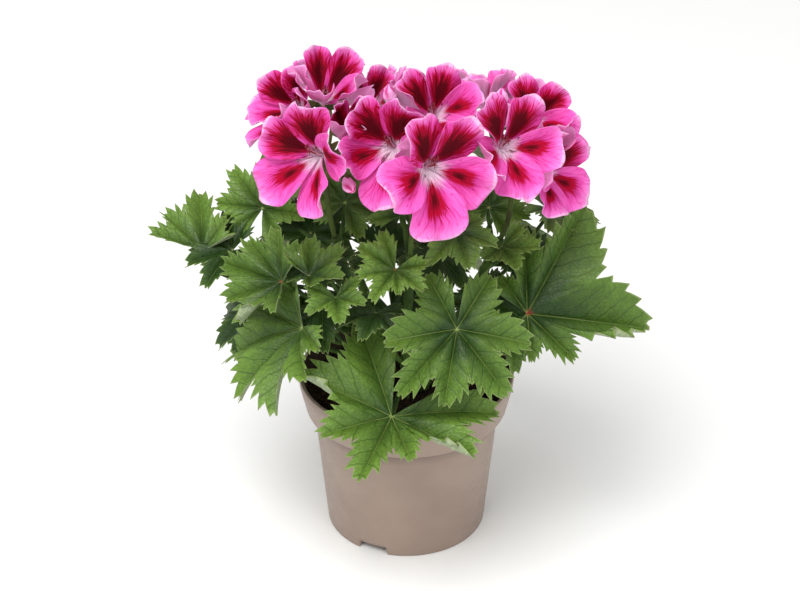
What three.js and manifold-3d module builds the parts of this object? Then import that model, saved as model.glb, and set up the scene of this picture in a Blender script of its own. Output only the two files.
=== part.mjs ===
// A regal pelargonium in its nursery pot: six leafy stems in a filled pot, with four heads of bloom.
// Millimetres, +Z up. The origin is the centre of the pot's base, and -Y is the front.
import * as THREE from "three";
import { mergeVertices } from "three/addons/utils/BufferGeometryUtils.js";
import Module from "manifold-3d";

const wasm = await Module();
wasm.setup();

// Pot: a thin moulded nursery pot with a wide collar, a raised floor and three drainage notches.
const RIM_RADIUS = 60;
const POT_HEIGHT = 95;
const COLLAR_FOOT_RADIUS = 56;
const COLLAR_FOOT_HEIGHT = 75;
const BODY_TOP_RADIUS = 51.6;
const BASE_RADIUS = 44.5;
const WALL = 1.4;
const FLOOR_HEIGHT = 5;
const PAD_RADIUS = 14;
const POT_SIDES = 30;
const NOTCH_COUNT = 3;
const NOTCH_FIRST_ANGLE = -115;
const NOTCH_WIDTH = 18;
const NOTCH_HEIGHT = 5;

// Compost: a loose, slightly mounded fill below the rim.
const SOIL_TOP = 83;
const SOIL_MOUND = 3;
const SOIL_RINGS = 3;
const CLEARANCE = 0.3;
const STEM_DEPTH = 22;
const HOLE_EASE = 1.1;

// Plant.
const STEM_RADIUS = 3;
const PETIOLE_RADIUS = 1.4;
const PEDUNCLE_RADIUS = 1.9;
const PEDICEL_RADIUS = 0.95;
const BLADE = 0.8;
const PETAL = 0.8;
const PETAL_TWIST = 9;
const STEEPEST = THREE.MathUtils.degToRad(76);
const PETAL_OVERLAP = 0.36;
const THROAT_SLOPE = 54;
const THROAT_DEPTH = 1.2;
const THROAT_RADIUS = 3.6;
const THROAT_RISE = 4.2;
const LOBE_STEP = 46;
const LOBE_LENGTHS = [0.66, 0.84, 0.96, 1, 0.96, 0.84, 0.66];
const SMALL_LEAF = 27;
const SMALL_LOBE_STEP = 58;
const SMALL_LOBE_LENGTHS = [0.74, 0.92, 1, 0.92, 0.74];
const SINUS_DEPTH = 0.6;
const BASAL_SINUS = 0.42;
const TOOTH = 0.05;
const PLEAT = 0.13;

const rad = THREE.MathUtils.degToRad;
const vec = (x, y, z) => new THREE.Vector3(x, y, z);

// A unit vector from a compass angle (0 is +X, 90 is +Y) and an elevation, in degrees.
function direction(azimuth, elevation) {
  const flat = Math.cos(rad(elevation));
  return vec(flat * Math.cos(rad(azimuth)), flat * Math.sin(rad(azimuth)), Math.sin(rad(elevation)));
}

// A fixed pseudo-random number in -1..1 for a seed and a channel.
function vary(seed, channel) {
  const s = Math.sin(seed * 12.9898 + channel * 78.233) * 43758.5453;
  return 2 * (s - Math.floor(s)) - 1;
}

// The frame of a blade or bloom whose face points along azimuth and elevation. "along" is the downhill
// direction in its plane, swung counter-clockwise by turn as seen from its face.
function facing(azimuth, elevation, turn) {
  const normal = direction(azimuth, elevation);
  const downhill = direction(azimuth, elevation - 90);
  const side = normal.clone().cross(downhill);
  const along = downhill.multiplyScalar(Math.cos(rad(turn))).addScaledVector(side, Math.sin(rad(turn)));
  const across = normal.clone().cross(along);
  return { normal, along, across };
}

// A closed solid from points and triangles, turned right side out.
function solidFrom(points, triangles) {
  const triVerts = new Uint32Array(triangles.flat());
  const vertProperties = new Float32Array(points.flatMap((p) => [p.x, p.y, p.z]));
  const made = new wasm.Manifold(new wasm.Mesh({ numProp: 3, vertProperties, triVerts }));
  if (made.volume() > 0) return made;
  const flipped = new Uint32Array(triangles.flatMap(([a, b, c]) => [a, c, b]));
  return new wasm.Manifold(new wasm.Mesh({ numProp: 3, vertProperties, triVerts: flipped }));
}

// A closed three.js geometry as a solid.
function solidOf(geometry) {
  const bare = new THREE.BufferGeometry().setAttribute("position", geometry.getAttribute("position"));
  if (geometry.index) bare.setIndex(geometry.index);
  const merged = mergeVertices(bare, 1e-4);
  const position = merged.getAttribute("position");
  const points = Array.from({ length: position.count }, (_, i) => vec().fromBufferAttribute(position, i));
  const index = merged.index.array;
  const triangles = [];
  for (let i = 0; i < index.length; i += 3) {
    const [a, b, c] = [index[i], index[i + 1], index[i + 2]];
    if (a !== b && b !== c && a !== c) triangles.push([a, b, c]);
  }
  return solidFrom(points, triangles);
}

// A round bar along a curve.
function bar(curve, radius, sides, steps) {
  const section = new THREE.Shape();
  for (let i = 0; i < sides; i++) {
    const a = (2 * Math.PI * i) / sides;
    const x = radius * Math.cos(a);
    const y = radius * Math.sin(a);
    if (i) section.lineTo(x, y);
    else section.moveTo(x, y);
  }
  section.closePath();
  return solidOf(new THREE.ExtrudeGeometry(section, { steps, extrudePath: curve, bevelEnabled: false }));
}

// A thin solid from a middle surface: both faces have the same triangles, half the thickness to either side.
function sheetSolid(points, triangles, outline, thickness) {
  const normals = points.map(() => vec());
  for (const [a, b, c] of triangles) {
    const n = points[b].clone().sub(points[a]).cross(points[c].clone().sub(points[a]));
    for (const k of [a, b, c]) normals[k].add(n);
  }
  const top = points.map((p, i) => p.clone().addScaledVector(normals[i].normalize(), thickness / 2));
  const bottom = points.map((p, i) => p.clone().addScaledVector(normals[i], -thickness / 2));
  const m = points.length;
  const faces = triangles.flatMap(([a, b, c]) => [[a, b, c], [m + a, m + c, m + b]]);
  outline.forEach((a, i) => {
    const b = outline[(i + 1) % outline.length];
    faces.push([a, m + a, b], [b, m + a, m + b]);
  });
  return solidFrom([...top, ...bottom], faces);
}

// A blade's lobes as [angle from the central lobe, length]: its own list, or the usual seven, or five on a
// small blade, with small differences from leaf to leaf.
function lobesOf(name, seed, size) {
  if (LOBES[name]) return LOBES[name];
  const small = size < SMALL_LEAF;
  const [step, lengths] = small ? [SMALL_LOBE_STEP, SMALL_LOBE_LENGTHS] : [LOBE_STEP, LOBE_LENGTHS];
  return lengths.map((length, i) => [
    (i - (lengths.length - 1) / 2) * step + 4 * vary(seed, 20 + i), length * (1 + 0.07 * vary(seed, 10 + i)),
  ]);
}

// Height of a leaf blade over its plane, as a share of its size: a shallow funnel at the petiole whose
// lobes arch down, pleated so that each vein lies in a valley (t is 0) and each sinus on a ridge (t is 1),
// and warped by two slow waves.
function leafHeight(leaf, q, theta, t) {
  const pleat = Math.sin((Math.PI / 2) * t);
  const slow = vary(leaf.seed, 1) * Math.sin(rad(2 * theta)) + vary(leaf.seed, 2) * Math.cos(rad(3 * theta));
  return leaf.cup * q - leaf.droop * q * q + PLEAT * pleat * q + 0.05 * slow * q * q;
}

// A point of a blade at a share q of its size and theta degrees from its central lobe.
function leafPoint(leaf, q, theta, t) {
  const { normal, along, across } = leaf.frame;
  return leaf.at
    .clone()
    .addScaledVector(along, leaf.size * q * Math.cos(rad(theta)))
    .addScaledVector(across, leaf.size * q * Math.sin(rad(theta)))
    .addScaledVector(normal, leaf.size * leafHeight(leaf, q, theta, t));
}

// Where a lobe's margin is a share f of the way from its sinus to its tip, as radius and share of the
// angle from axis to sinus. Lobes are widest past their middle.
function marginPoint(sinus, tip, f) {
  return [sinus + (tip - sinus) * Math.pow(f, 0.85), 1 - Math.pow(f, 1.8)];
}

// A palmate blade of toothed lobes. Each lobe's outline runs from sinus to tip to sinus, and its
// triangles fan from a point on its vein.
function leafSolid(leaf) {
  const points = [leafPoint(leaf, 0, 0, 0)];
  const triangles = [];
  const outline = [0];
  const add = (q, theta, t) => points.push(leafPoint(leaf, q, theta, t)) - 1;
  const count = leaf.lobes.length;
  const between = leaf.lobes.slice(1).map(([angle], i) => (angle + leaf.lobes[i][0]) / 2);
  const first = Math.max(-175, leaf.lobes[0][0] - 22);
  const last = Math.min(175, leaf.lobes[count - 1][0] + 22);
  const bounds = [first, ...between, last];
  const sinuses = bounds.map((bound, i) => {
    if (i === 0 || i === count) return BASAL_SINUS;
    const width = leaf.lobes[i][0] - leaf.lobes[i - 1][0];
    const depth = SINUS_DEPTH + 0.004 * (LOBE_STEP - width) + 0.1 * vary(leaf.seed, 30 + i);
    return Math.min(leaf.lobes[i][1], leaf.lobes[i - 1][1]) * depth;
  });
  let previous = add(sinuses[0], bounds[0], 1);
  outline.push(previous);
  leaf.lobes.forEach(([axis, length], i) => {
    const vein = add(length * 0.55, axis, 0);
    const rim = [previous];
    const teeth = i === 0 || i === count - 1 ? 1 : leaf.teeth;
    const steps = Array.from({ length: teeth }, (_, k) => (k + 1) / (teeth + 0.6));
    for (const f of steps) {
      for (const [q, share] of [toothTip(sinuses[i], length, f, teeth), toothNotch(sinuses[i], length, f)]) {
        rim.push(add(q, axis - (axis - bounds[i]) * share, share));
      }
    }
    rim.push(add(length, axis, 0));
    for (const f of steps.reverse()) {
      const sinus = sinuses[i + 1];
      for (const [q, share] of [toothNotch(sinus, length, f), toothTip(sinus, length, f, teeth)]) {
        rim.push(add(q, axis + (bounds[i + 1] - axis) * share, share));
      }
    }
    const end = add(sinuses[i + 1], bounds[i + 1], 1);
    rim.push(end);
    for (let k = 0; k + 1 < rim.length; k++) triangles.push([vein, rim[k], rim[k + 1]]);
    triangles.push([0, previous, vein], [0, vein, end]);
    outline.push(...rim.slice(1));
    previous = end;
  });
  return sheetSolid(points, triangles, outline, BLADE);
}

// A tooth stands out of the margin just before its notch, which cuts back toward the vein.
function toothTip(sinus, tip, f, teeth) {
  const [q, share] = marginPoint(sinus, tip, f - 0.35 / (teeth + 0.6));
  return [q + TOOTH, share];
}
function toothNotch(sinus, tip, f) {
  const [q, share] = marginPoint(sinus, tip, f);
  return [q, share * 0.84];
}

// Leafy stems: where each leaves the compost, where it bends, and where it ends.
const STEMS = [
  { name: "left", points: [[-10, -4, 88], [-24, -9, 130], [-38, -10, 186]] },
  { name: "front", points: [[-1, -12, 88], [0, -22, 130], [2, -32, 188]] },
  { name: "right", points: [[10, -4, 88], [27, -7, 130], [50, -8, 184]] },
  { name: "right_back", points: [[9, 7, 88], [19, 17, 125], [36, 34, 165]] },
  { name: "back", points: [[0, 12, 88], [3, 26, 130], [6, 36, 178]] },
  { name: "left_back", points: [[-9, 7, 88], [-20, 18, 125], [-36, 34, 165]] },
];

// Leaves: name, stem, share of the stem where the petiole starts, petiole top, azimuth and elevation of the
// face, turn of the central lobe from downhill, size from petiole to central tip, cup, droop, teeth a side.
const LEAVES = [
  ["front_low", "front", 0.15, -8, -72, 113, -78, 63, -38, 58, 0.3, 0.15, 2],
  ["front_right", "front", 0.45, 26, -62, 161, -88, 41, -3, 46, 0.2, 0.3, 2],
  ["front_centre", "front", 0.8, -6, -52, 191, -91, 54, -33, 24, 0.35, 0.2, 1],
  ["front_dark", "front", 0.35, -16, -46, 161, -85, 80, -22, 21, 0.25, 0.45, 1],
  ["front_high", "front", 0.9, 26, -35, 203, -80, 70, 10, 24, 0.2, 0.35, 1],
  ["front_shade", "front", 0.25, -8, -26, 150, -80, 55, 20, 27, 0.2, 0.4, 0],
  ["front_inner", "front", 0.7, 18, -16, 178, -90, 62, -20, 25, 0.2, 0.3, 0],
  ["front_back", "front", 0.9, -2, -6, 198, -95, 42, 170, 25, 0.2, 0.3, 0],
  ["left_low", "left", 0.3, -55, -40, 148, -158, 39, -10, 55, 0.33, 0.25, 2],
  ["left_mid", "left", 0.5, -66, -28, 169, -144, 43, -72, 34, 0.4, 0.05, 1],
  ["left_cup", "left", 0.45, -37, -52, 174, -104, 70, 19, 20, 0.4, 0.3, 1],
  ["left_small", "left", 0.75, -51, -40, 180, -90, 75, 120, 22, 0.45, -0.05, 1],
  ["left_far", "left", 0.6, -110, 4, 170, -118, 78, -75, 32, 0.5, 0.1, 1],
  ["left_inner", "left", 0.6, -43, -22, 178, -105, 60, 0, 24, 0.2, 0.3, 0],
  ["left_shade", "left", 0.2, -45, -18, 146, -100, 58, 10, 24, 0.2, 0.35, 0],
  ["left_back", "left", 0.9, -33, 8, 197, -92, 44, 165, 31, 0.2, 0.3, 0],
  ["left_high", "left", 0.85, -78, 20, 187, -110, 35, 180, 30, 0.25, 0.2, 1],
  ["left_behind", "left", 0.15, -82, -10, 137, -140, 45, -30, 28, 0.2, 0.35, 0],
  ["right_big", "right", 0.4, 64, -32, 152, -80, 33, 83, 62, 0.15, 0.2, 2],
  ["right_inner", "right", 0.5, 42, -26, 158, -70, 55, 0, 28, 0.2, 0.3, 0],
  ["right_shade", "right", 0.6, 62, 8, 166, -60, 55, 30, 25, 0.2, 0.3, 0],
  ["right_back_wall", "right", 0.9, 44, 8, 194, -80, 42, 170, 30, 0.2, 0.3, 0],
  ["right_curl", "right", 0.85, 50, -20, 186, -80, 60, 10, 21, 0.5, 0, 1],
  ["right_low", "right", 0.15, 56, -8, 126, -60, 45, -10, 22, 0.2, 0.4, 0],
  ["right_high", "right", 0.8, 77, 15, 189, 0, 72, 0, 30, 0.2, 0.25, 1],
  ["right_back_low", "right_back", 0.3, 66, 40, 128, 30, 45, 0, 36, 0.2, 0.35, 0],
  ["right_back_mid", "right_back", 0.6, 50, 70, 154, 48, 44, 5, 42, 0.2, 0.3, 0],
  ["right_back_high", "right_back", 0.95, 52, 50, 196, 48, 42, 0, 38, 0.25, 0.25, 0],
  ["back_low", "back", 0.3, 12, 84, 128, 85, 40, 0, 44, 0.2, 0.3, 0],
  ["back_mid", "back", 0.6, -6, 84, 164, 100, 42, 10, 42, 0.2, 0.25, 0],
  ["back_high", "back", 0.85, 2, 68, 198, 90, 38, 0, 37, 0.25, 0.2, 0],
  ["left_back_low", "left_back", 0.3, -66, 44, 128, 150, 46, 0, 36, 0.2, 0.35, 0],
  ["left_back_mid", "left_back", 0.6, -52, 66, 154, 132, 44, 5, 42, 0.2, 0.3, 0],
  ["left_back_high", "left_back", 0.95, -48, 46, 194, 132, 44, 0, 38, 0.25, 0.25, 0],
  ["left_deep", "left", 0.75, -52, 12, 176, -95, 50, 180, 28, 0.2, 0.3, 0],
  ["front_deep", "front", 0.55, -12, 4, 170, -90, 50, 180, 26, 0.2, 0.3, 0],
  ["left_gap", "left", 0.65, -94, 4, 170, -110, 60, -60, 27.5, 0.25, 0.25, 0],
];

// Blades whose lobes differ from the usual spread.
const LOBES = {
  front_low: [[-133, 0.92], [-82, 0.88], [-38, 0.72], [6, 0.85], [45, 0.56], [84, 0.88], [120, 0.98]],
  front_right: [[-150, 0.72], [-78, 0.84], [-40, 1], [-8, 0.88], [39, 0.95], [81, 0.86], [150, 0.74]],
  left_low: [[-105, 0.7], [-62, 0.85], [-28, 1], [8, 0.95], [50, 0.93], [80, 0.74], [106, 0.66]],
  left_mid: [[-117, 0.68], [-74, 0.78], [-34, 0.86], [-2, 1.05], [34, 0.92], [74, 0.9], [120, 0.62]],
  front_centre: [[-128, 0.88], [-88, 0.92], [-40, 0.82], [2, 0.95], [40, 0.66], [82, 0.83], [130, 0.72]],
  right_big: [[-130, 0.4], [-84, 0.42], [-42, 0.58], [0, 1.13], [66, 1.08], [96, 0.74], [128, 0.4]],
  left_far: [[-165, 0.55], [-120, 0.66], [-75, 1.03], [-30, 0.91], [2, 0.93]],
};

// Heads of bloom: the stem each stands on and where its stalks meet.
const HEADS = [
  { name: "left", stem: "left", hub: [-42, -8, 224] },
  { name: "front", stem: "front", hub: [3, -36, 226] },
  { name: "right", stem: "right", hub: [55, -8, 220] },
  { name: "back", stem: "back", hub: [8, 36, 206] },
];

// Blooms: head, throat, azimuth and elevation of the face, turn, petal length, and how far the petals'
// tips rise over the bloom's plane in degrees.
const BLOOMS = [
  ["left", -42, -42, 253, -128, 15, 38, 38, 36],
  ["left", -54, -14, 264, -122, 38, 35, 29, 48],
  ["left", -43, -12, 266, -75, 70, -25, 33, 52],
  ["left", -61, 6, 245, -155, 40, 0, 26, 35],
  ["left", -20, 10, 252, -60, 55, 0, 27, 40],
  ["left", -42, 24, 252, 105, 40, 0, 29, 35],
  ["front", -6, -41, 257, -112, 20, 12, 37, 32],
  ["front", 8, -75, 264, -58, 10, -10, 37, 26],
  ["front", 13, -28, 266, -72, 48, 14, 33, 40],
  ["front", 4, -6, 254, 80, 60, 0, 27, 40],
  ["right", 46, -46, 259, -55, 26, -5, 35, 32],
  ["right", 66, -28, 236, -32, 14, -40, 31, 34],
  ["right", 63, -8, 253, -80, 45, -20, 30, 38],
  ["right", 42, 4, 252, 110, 60, 0, 28, 45],
  ["right", 71, -3, 240, -15, 45, 0, 25, 36],
  ["right", 57, 20, 240, 75, 45, 0, 28, 36],
  ["back", 10, 60, 226, 90, 30, 0, 30, 28],
  ["back", -18, 52, 230, 125, 45, 0, 28, 34],
  ["back", 36, 52, 230, 60, 45, 0, 28, 34],
  ["left", -30, -27, 256, -80, 40, 0, 27, 45],
];

// Furled buds: head, base, azimuth and elevation, and length.
const BUDS = [
  ["left", -31, -50, 243, -75, 0, 14],
  ["front", -8, -22, 270, -120, 80, 13],
  ["right", 48, -24, 270, -90, 75, 13],
  ["back", 8, 40, 238, 60, 70, 14],
];

// The five petals, counter-clockwise from the top of the bloom: angle of the axis, length as a share of the
// bloom's, and half the sector that the petal fills.
const PETALS = [
  { angle: 34, length: 0.94, sector: 34 },
  { angle: 105, length: 1, sector: 37 },
  { angle: 180, length: 1, sector: 38 },
  { angle: 255, length: 1, sector: 37 },
  { angle: 326, length: 0.94, sector: 34 },
];

const leaves = LEAVES.map(([name, stem, share, x, y, z, azimuth, elevation, turn, ...shape], i) => {
  const [size, cup, droop, teeth] = shape;
  const at = vec(x, y, z);
  const frame = facing(azimuth, elevation, turn);
  return { stem, share, at, frame, size, cup, droop, teeth, seed: i + 1, lobes: lobesOf(name, i + 1, size) };
});
const blooms = BLOOMS.map(([head, x, y, z, azimuth, elevation, turn, size, open], i) => ({
  head, size, open, seed: i + 51, at: vec(x, y, z), frame: facing(azimuth, elevation, turn),
}));

// The middle of a bloom's cup, from which the halfway planes to its neighbours are measured.
const heart = (bloom) => bloom.at.clone().addScaledVector(bloom.frame.normal, 0.25 * bloom.size);

// The elevation, in radians over the bloom's plane, at which a petal point this far out stays on its own
// side of the plane halfway to every other bloom. Points swing up about the throat, and keep their length.
function liftedClear(bloom, outward, reach, elevation) {
  let lifted = elevation;
  for (const other of blooms) {
    if (other === bloom) continue;
    const between = heart(other).sub(heart(bloom));
    const share = bloom.size / (bloom.size + other.size);
    const middle = heart(bloom).addScaledVector(between, share);
    const towards = between.normalize();
    const room = middle.sub(bloom.at).dot(towards) - PETAL;
    const a = outward.dot(towards);
    const b = bloom.frame.normal.dot(towards);
    const most = Math.hypot(a, b);
    if (reach * (a * Math.cos(lifted) + b * Math.sin(lifted)) <= room) continue;
    const needed = Math.atan2(b, a) + Math.acos(Math.max(-1, Math.min(1, room / (reach * most))));
    lifted = Math.max(lifted, needed);
  }
  return Math.min(lifted, STEEPEST);
}

// The direction in a bloom's plane at an angle from its top, counter-clockwise as seen from its face.
function planeDirection(bloom, angle) {
  const { along, across } = bloom.frame;
  return along.clone().multiplyScalar(-Math.cos(rad(angle))).addScaledVector(across, -Math.sin(rad(angle)));
}

// A point of petal k at a share rho of its length, and u from -1 to 1 across its sector.
function petalPoint(bloom, k, rho, u) {
  const petal = PETALS[k];
  const { normal } = bloom.frame;
  const phase = 3 * vary(bloom.seed, k);
  const length = bloom.size * petal.length * (1 + 0.06 * vary(bloom.seed, 20 + k));
  const edge = Math.pow(1 - Math.pow(Math.abs(u), 3), 0.55) * (1 + 0.03 * Math.sin(7 * u + phase));
  const reach = length * edge * rho;
  const outward = planeDirection(bloom, petal.angle + u * petal.sector * (1 + PETAL_OVERLAP * rho ** 3));
  const ruffle = 6 * rho * rho * (1 - 0.6 * u * u) * Math.sin(5 * u + phase);
  const share = reach / length;
  const rise = THROAT_SLOPE * (1 - share) + bloom.open * share + ruffle - PETAL_TWIST * rho;
  const elevation = liftedClear(bloom, outward, reach, rad(rise)) + rad(PETAL_TWIST * rho * (1 + u));
  return bloom.at
    .clone()
    .addScaledVector(outward, reach * Math.cos(elevation))
    .addScaledVector(normal, reach * Math.sin(elevation));
}

// One bloom as a single ruffled sheet: a funnel at the throat, whose rim rises between the petals, and
// five petals, each with a row across its middle and a row round its edge.
function bloomSolid(bloom) {
  const middle = [-0.85, -0.35, 0.35, 0.85];
  const edge = [-0.94, -0.72, -0.38, 0, 0.38, 0.72, 0.94];
  const points = [bloom.at.clone().addScaledVector(bloom.frame.normal, -THROAT_DEPTH)];
  for (const petal of PETALS) {
    const out = planeDirection(bloom, petal.angle - petal.sector);
    const foot = bloom.at.clone().addScaledVector(out, THROAT_RADIUS);
    points.push(foot.addScaledVector(bloom.frame.normal, THROAT_RISE));
  }
  const triangles = [];
  const outline = [];
  PETALS.forEach((_, k) => {
    const [from, to] = [1 + k, 1 + ((k + 1) % 5)];
    const first = points.length;
    for (const u of middle) points.push(petalPoint(bloom, k, 0.52, u));
    for (const u of edge) points.push(petalPoint(bloom, k, 1, u));
    const [m, e] = [(j) => first + j, (j) => first + middle.length + j];
    triangles.push([0, from, to], [from, m(0), m(1)], [from, m(1), to], [to, m(1), m(2)], [to, m(2), m(3)]);
    triangles.push([m(0), e(0), e(1)], [m(0), e(1), m(1)], [m(1), e(1), e(2)], [m(1), e(2), e(3)]);
    triangles.push([m(1), e(3), m(2)], [m(2), e(3), e(4)], [m(2), e(4), e(5)]);
    triangles.push([m(2), e(5), m(3)], [m(3), e(5), e(6)]);
    outline.push(from, m(0), ...edge.map((_, j) => e(j)), m(3));
  });
  return sheetSolid(points, triangles, outline, PETAL);
}

// A straight cone frustum from a point along a direction.
function frustum(from, way, length, radiusFrom, radiusTo, sides) {
  const shape = new THREE.CylinderGeometry(radiusTo, radiusFrom, length, sides, 1);
  shape.rotateX(Math.PI / 2);
  shape.translate(0, 0, length / 2);
  shape.applyQuaternion(new THREE.Quaternion().setFromUnitVectors(vec(0, 0, 1), way));
  shape.translate(from.x, from.y, from.z);
  return solidOf(shape);
}

// A calyx: a short cup whose rim is five pointed sepals, lying back behind the petals.
function calyxSolid(at, frame, seed) {
  const point = (radius, angle, height) => at
    .clone()
    .addScaledVector(frame.along, radius * Math.cos(rad(angle)))
    .addScaledVector(frame.across, radius * Math.sin(rad(angle)))
    .addScaledVector(frame.normal, height);
  const turns = [0, 1, 2, 3, 4];
  const points = [
    ...turns.map((k) => point(1.3, 72 * k, -7)),
    ...turns.map((k) => point(2.2, 72 * k, -3.2)),
    ...turns.map((k) => point(2.2, 72 * k, -2.2)),
    ...turns.map((k) => point(10, 72 * k + 36, -2.8 + vary(seed, 40 + k))),
  ];
  const triangles = [[0, 2, 1], [0, 3, 2], [0, 4, 3], [10, 11, 12], [10, 12, 13], [10, 13, 14]];
  for (const k of turns) {
    const next = (k + 1) % 5;
    triangles.push([k, next, 5 + k], [next, 5 + next, 5 + k], [5 + k, 5 + next, 15 + k]);
    triangles.push([10 + next, 10 + k, 15 + k], [5 + k, 15 + k, 10 + k], [5 + next, 10 + next, 15 + k]);
  }
  return solidFrom(points, triangles);
}

// A furled bud: a spindle of rolled petals.
function budSolid(at, way, length) {
  const shares = [0, 0.2, 0.5, 0.8, 1];
  const radii = [1.5, 2.7, 3.6, 2.6, 0.6];
  const profile = shares.map((s, i) => new THREE.Vector2(radii[i], s * length));
  const spindle = [new THREE.Vector2(0, 0), ...profile, new THREE.Vector2(0, length + 0.3)];
  const shape = new THREE.LatheGeometry(spindle, 7);
  shape.rotateX(Math.PI / 2);
  shape.applyQuaternion(new THREE.Quaternion().setFromUnitVectors(vec(0, 0, 1), way));
  shape.translate(at.x, at.y, at.z);
  return solidOf(shape);
}

// A stalk from one point to another that leaves and arrives along given directions.
function stalk(from, leaving, to, arriving, radius, sides, steps) {
  const reach = from.distanceTo(to) * 0.4;
  const bend = from.clone().addScaledVector(leaving, reach);
  const approach = to.clone().addScaledVector(arriving, -reach);
  return bar(new THREE.CubicBezierCurve3(from, bend, approach, to), radius, sides, steps);
}

const stemCurve = (stem) => new THREE.CatmullRomCurve3(
  [vec(...stem.points[0]).setZ(SOIL_TOP - STEM_DEPTH), ...stem.points.map((p) => vec(...p))],
  false, "catmullrom", 0.25,
);

// Everything green on one stem: the stem, its petioles and blades, and any flower stalk with its calyces.
function leafyStem(stem) {
  const curve = stemCurve(stem);
  const pieces = [bar(curve, STEM_RADIUS, 6, 6)];
  for (const leaf of leaves.filter((l) => l.stem === stem.name)) {
    const start = curve.getPointAt(0.2 + 0.8 * leaf.share);
    const tangent = curve.getTangentAt(0.2 + 0.8 * leaf.share);
    const out = leaf.at.clone().sub(start).setZ(0).normalize();
    const leaving = tangent.multiplyScalar(0.6).add(out).normalize();
    pieces.push(stalk(start, leaving, leaf.at, leaf.frame.normal, PETIOLE_RADIUS, 3, 3));
    pieces.push(leafSolid(leaf));
  }
  const head = HEADS.find((h) => h.stem === stem.name);
  if (head) {
    const top = curve.getPoint(1);
    const hub = vec(...head.hub);
    pieces.push(stalk(top, curve.getTangent(1), hub, vec(0, 0, 1), PEDUNCLE_RADIUS, 6, 3));
    pieces.push(frustum(hub.clone().setZ(hub.z - 3), vec(0, 0, 1), 5, 2.4, 2.8, 6));
    for (const bloom of blooms.filter((b) => b.head === head.name)) {
      const foot = bloom.at.clone().addScaledVector(bloom.frame.normal, -6.5);
      const leaving = foot.clone().sub(hub).normalize().add(vec(0, 0, 0.5)).normalize();
      pieces.push(stalk(hub, leaving, foot, bloom.frame.normal, PEDICEL_RADIUS, 3, 2));
      pieces.push(calyxSolid(bloom.at, bloom.frame, bloom.seed));
    }
    for (const [, x, y, z, azimuth, elevation] of BUDS.filter((b) => b[0] === head.name)) {
      const frame = facing(azimuth, elevation, 0);
      const at = vec(x, y, z);
      const foot = at.clone().addScaledVector(frame.normal, -4.5);
      const leaving = foot.clone().sub(hub).normalize();
      pieces.push(stalk(hub, leaving, foot, frame.normal, PEDICEL_RADIUS, 3, 2));
      pieces.push(frustum(foot, frame.normal, 4.2, PEDICEL_RADIUS, 2, 6));
    }
  }
  return wasm.Manifold.union(pieces);
}

// A ring or disc turned from a profile of [radius, height] pairs.
function turned(profile, sides) {
  const points = profile.map(([r, z]) => new THREE.Vector2(r, z));
  return solidOf(new THREE.LatheGeometry(points, sides).rotateX(Math.PI / 2));
}

// The pot: body, wide collar, raised floor with a flat pad at its middle, and notches in the foot.
function potSolid() {
  const inner = FLOOR_HEIGHT + WALL;
  const body = turned([
    [0, 0], [PAD_RADIUS, 0], [PAD_RADIUS + 4, FLOOR_HEIGHT], [BASE_RADIUS - 3.5, FLOOR_HEIGHT],
    [BASE_RADIUS - 2.2, 0], [BASE_RADIUS, 0], [BODY_TOP_RADIUS, COLLAR_FOOT_HEIGHT - 1],
    [COLLAR_FOOT_RADIUS, COLLAR_FOOT_HEIGHT], [RIM_RADIUS, POT_HEIGHT - 4], [RIM_RADIUS, POT_HEIGHT],
    [RIM_RADIUS - 2, POT_HEIGHT], [RIM_RADIUS - 2.6, POT_HEIGHT - 6],
    [COLLAR_FOOT_RADIUS - WALL, COLLAR_FOOT_HEIGHT + 2], [BODY_TOP_RADIUS - WALL, COLLAR_FOOT_HEIGHT - 1],
    [BASE_RADIUS - WALL + 0.6, inner], [PAD_RADIUS + 3, inner], [PAD_RADIUS - 1, WALL], [0, WALL],
  ], POT_SIDES);
  const cutters = Array.from({ length: NOTCH_COUNT }, (_, i) => {
    const outline = new THREE.Shape();
    const half = NOTCH_WIDTH / 2;
    outline.moveTo(-half - 1, -1).lineTo(half + 1, -1);
    outline.lineTo(half - 2, NOTCH_HEIGHT).lineTo(-half + 2, NOTCH_HEIGHT);
    outline.closePath();
    const block = new THREE.ExtrudeGeometry(outline, { depth: 8, bevelEnabled: false });
    block.rotateX(Math.PI / 2).rotateZ(Math.PI / 2).translate(BASE_RADIUS - 4.2, 0, 0);
    return solidOf(block.rotateZ(rad(NOTCH_FIRST_ANGLE + (360 / NOTCH_COUNT) * i)));
  });
  return cutters.reduce((pot, cutter) => pot.subtract(cutter), body);
}

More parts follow.
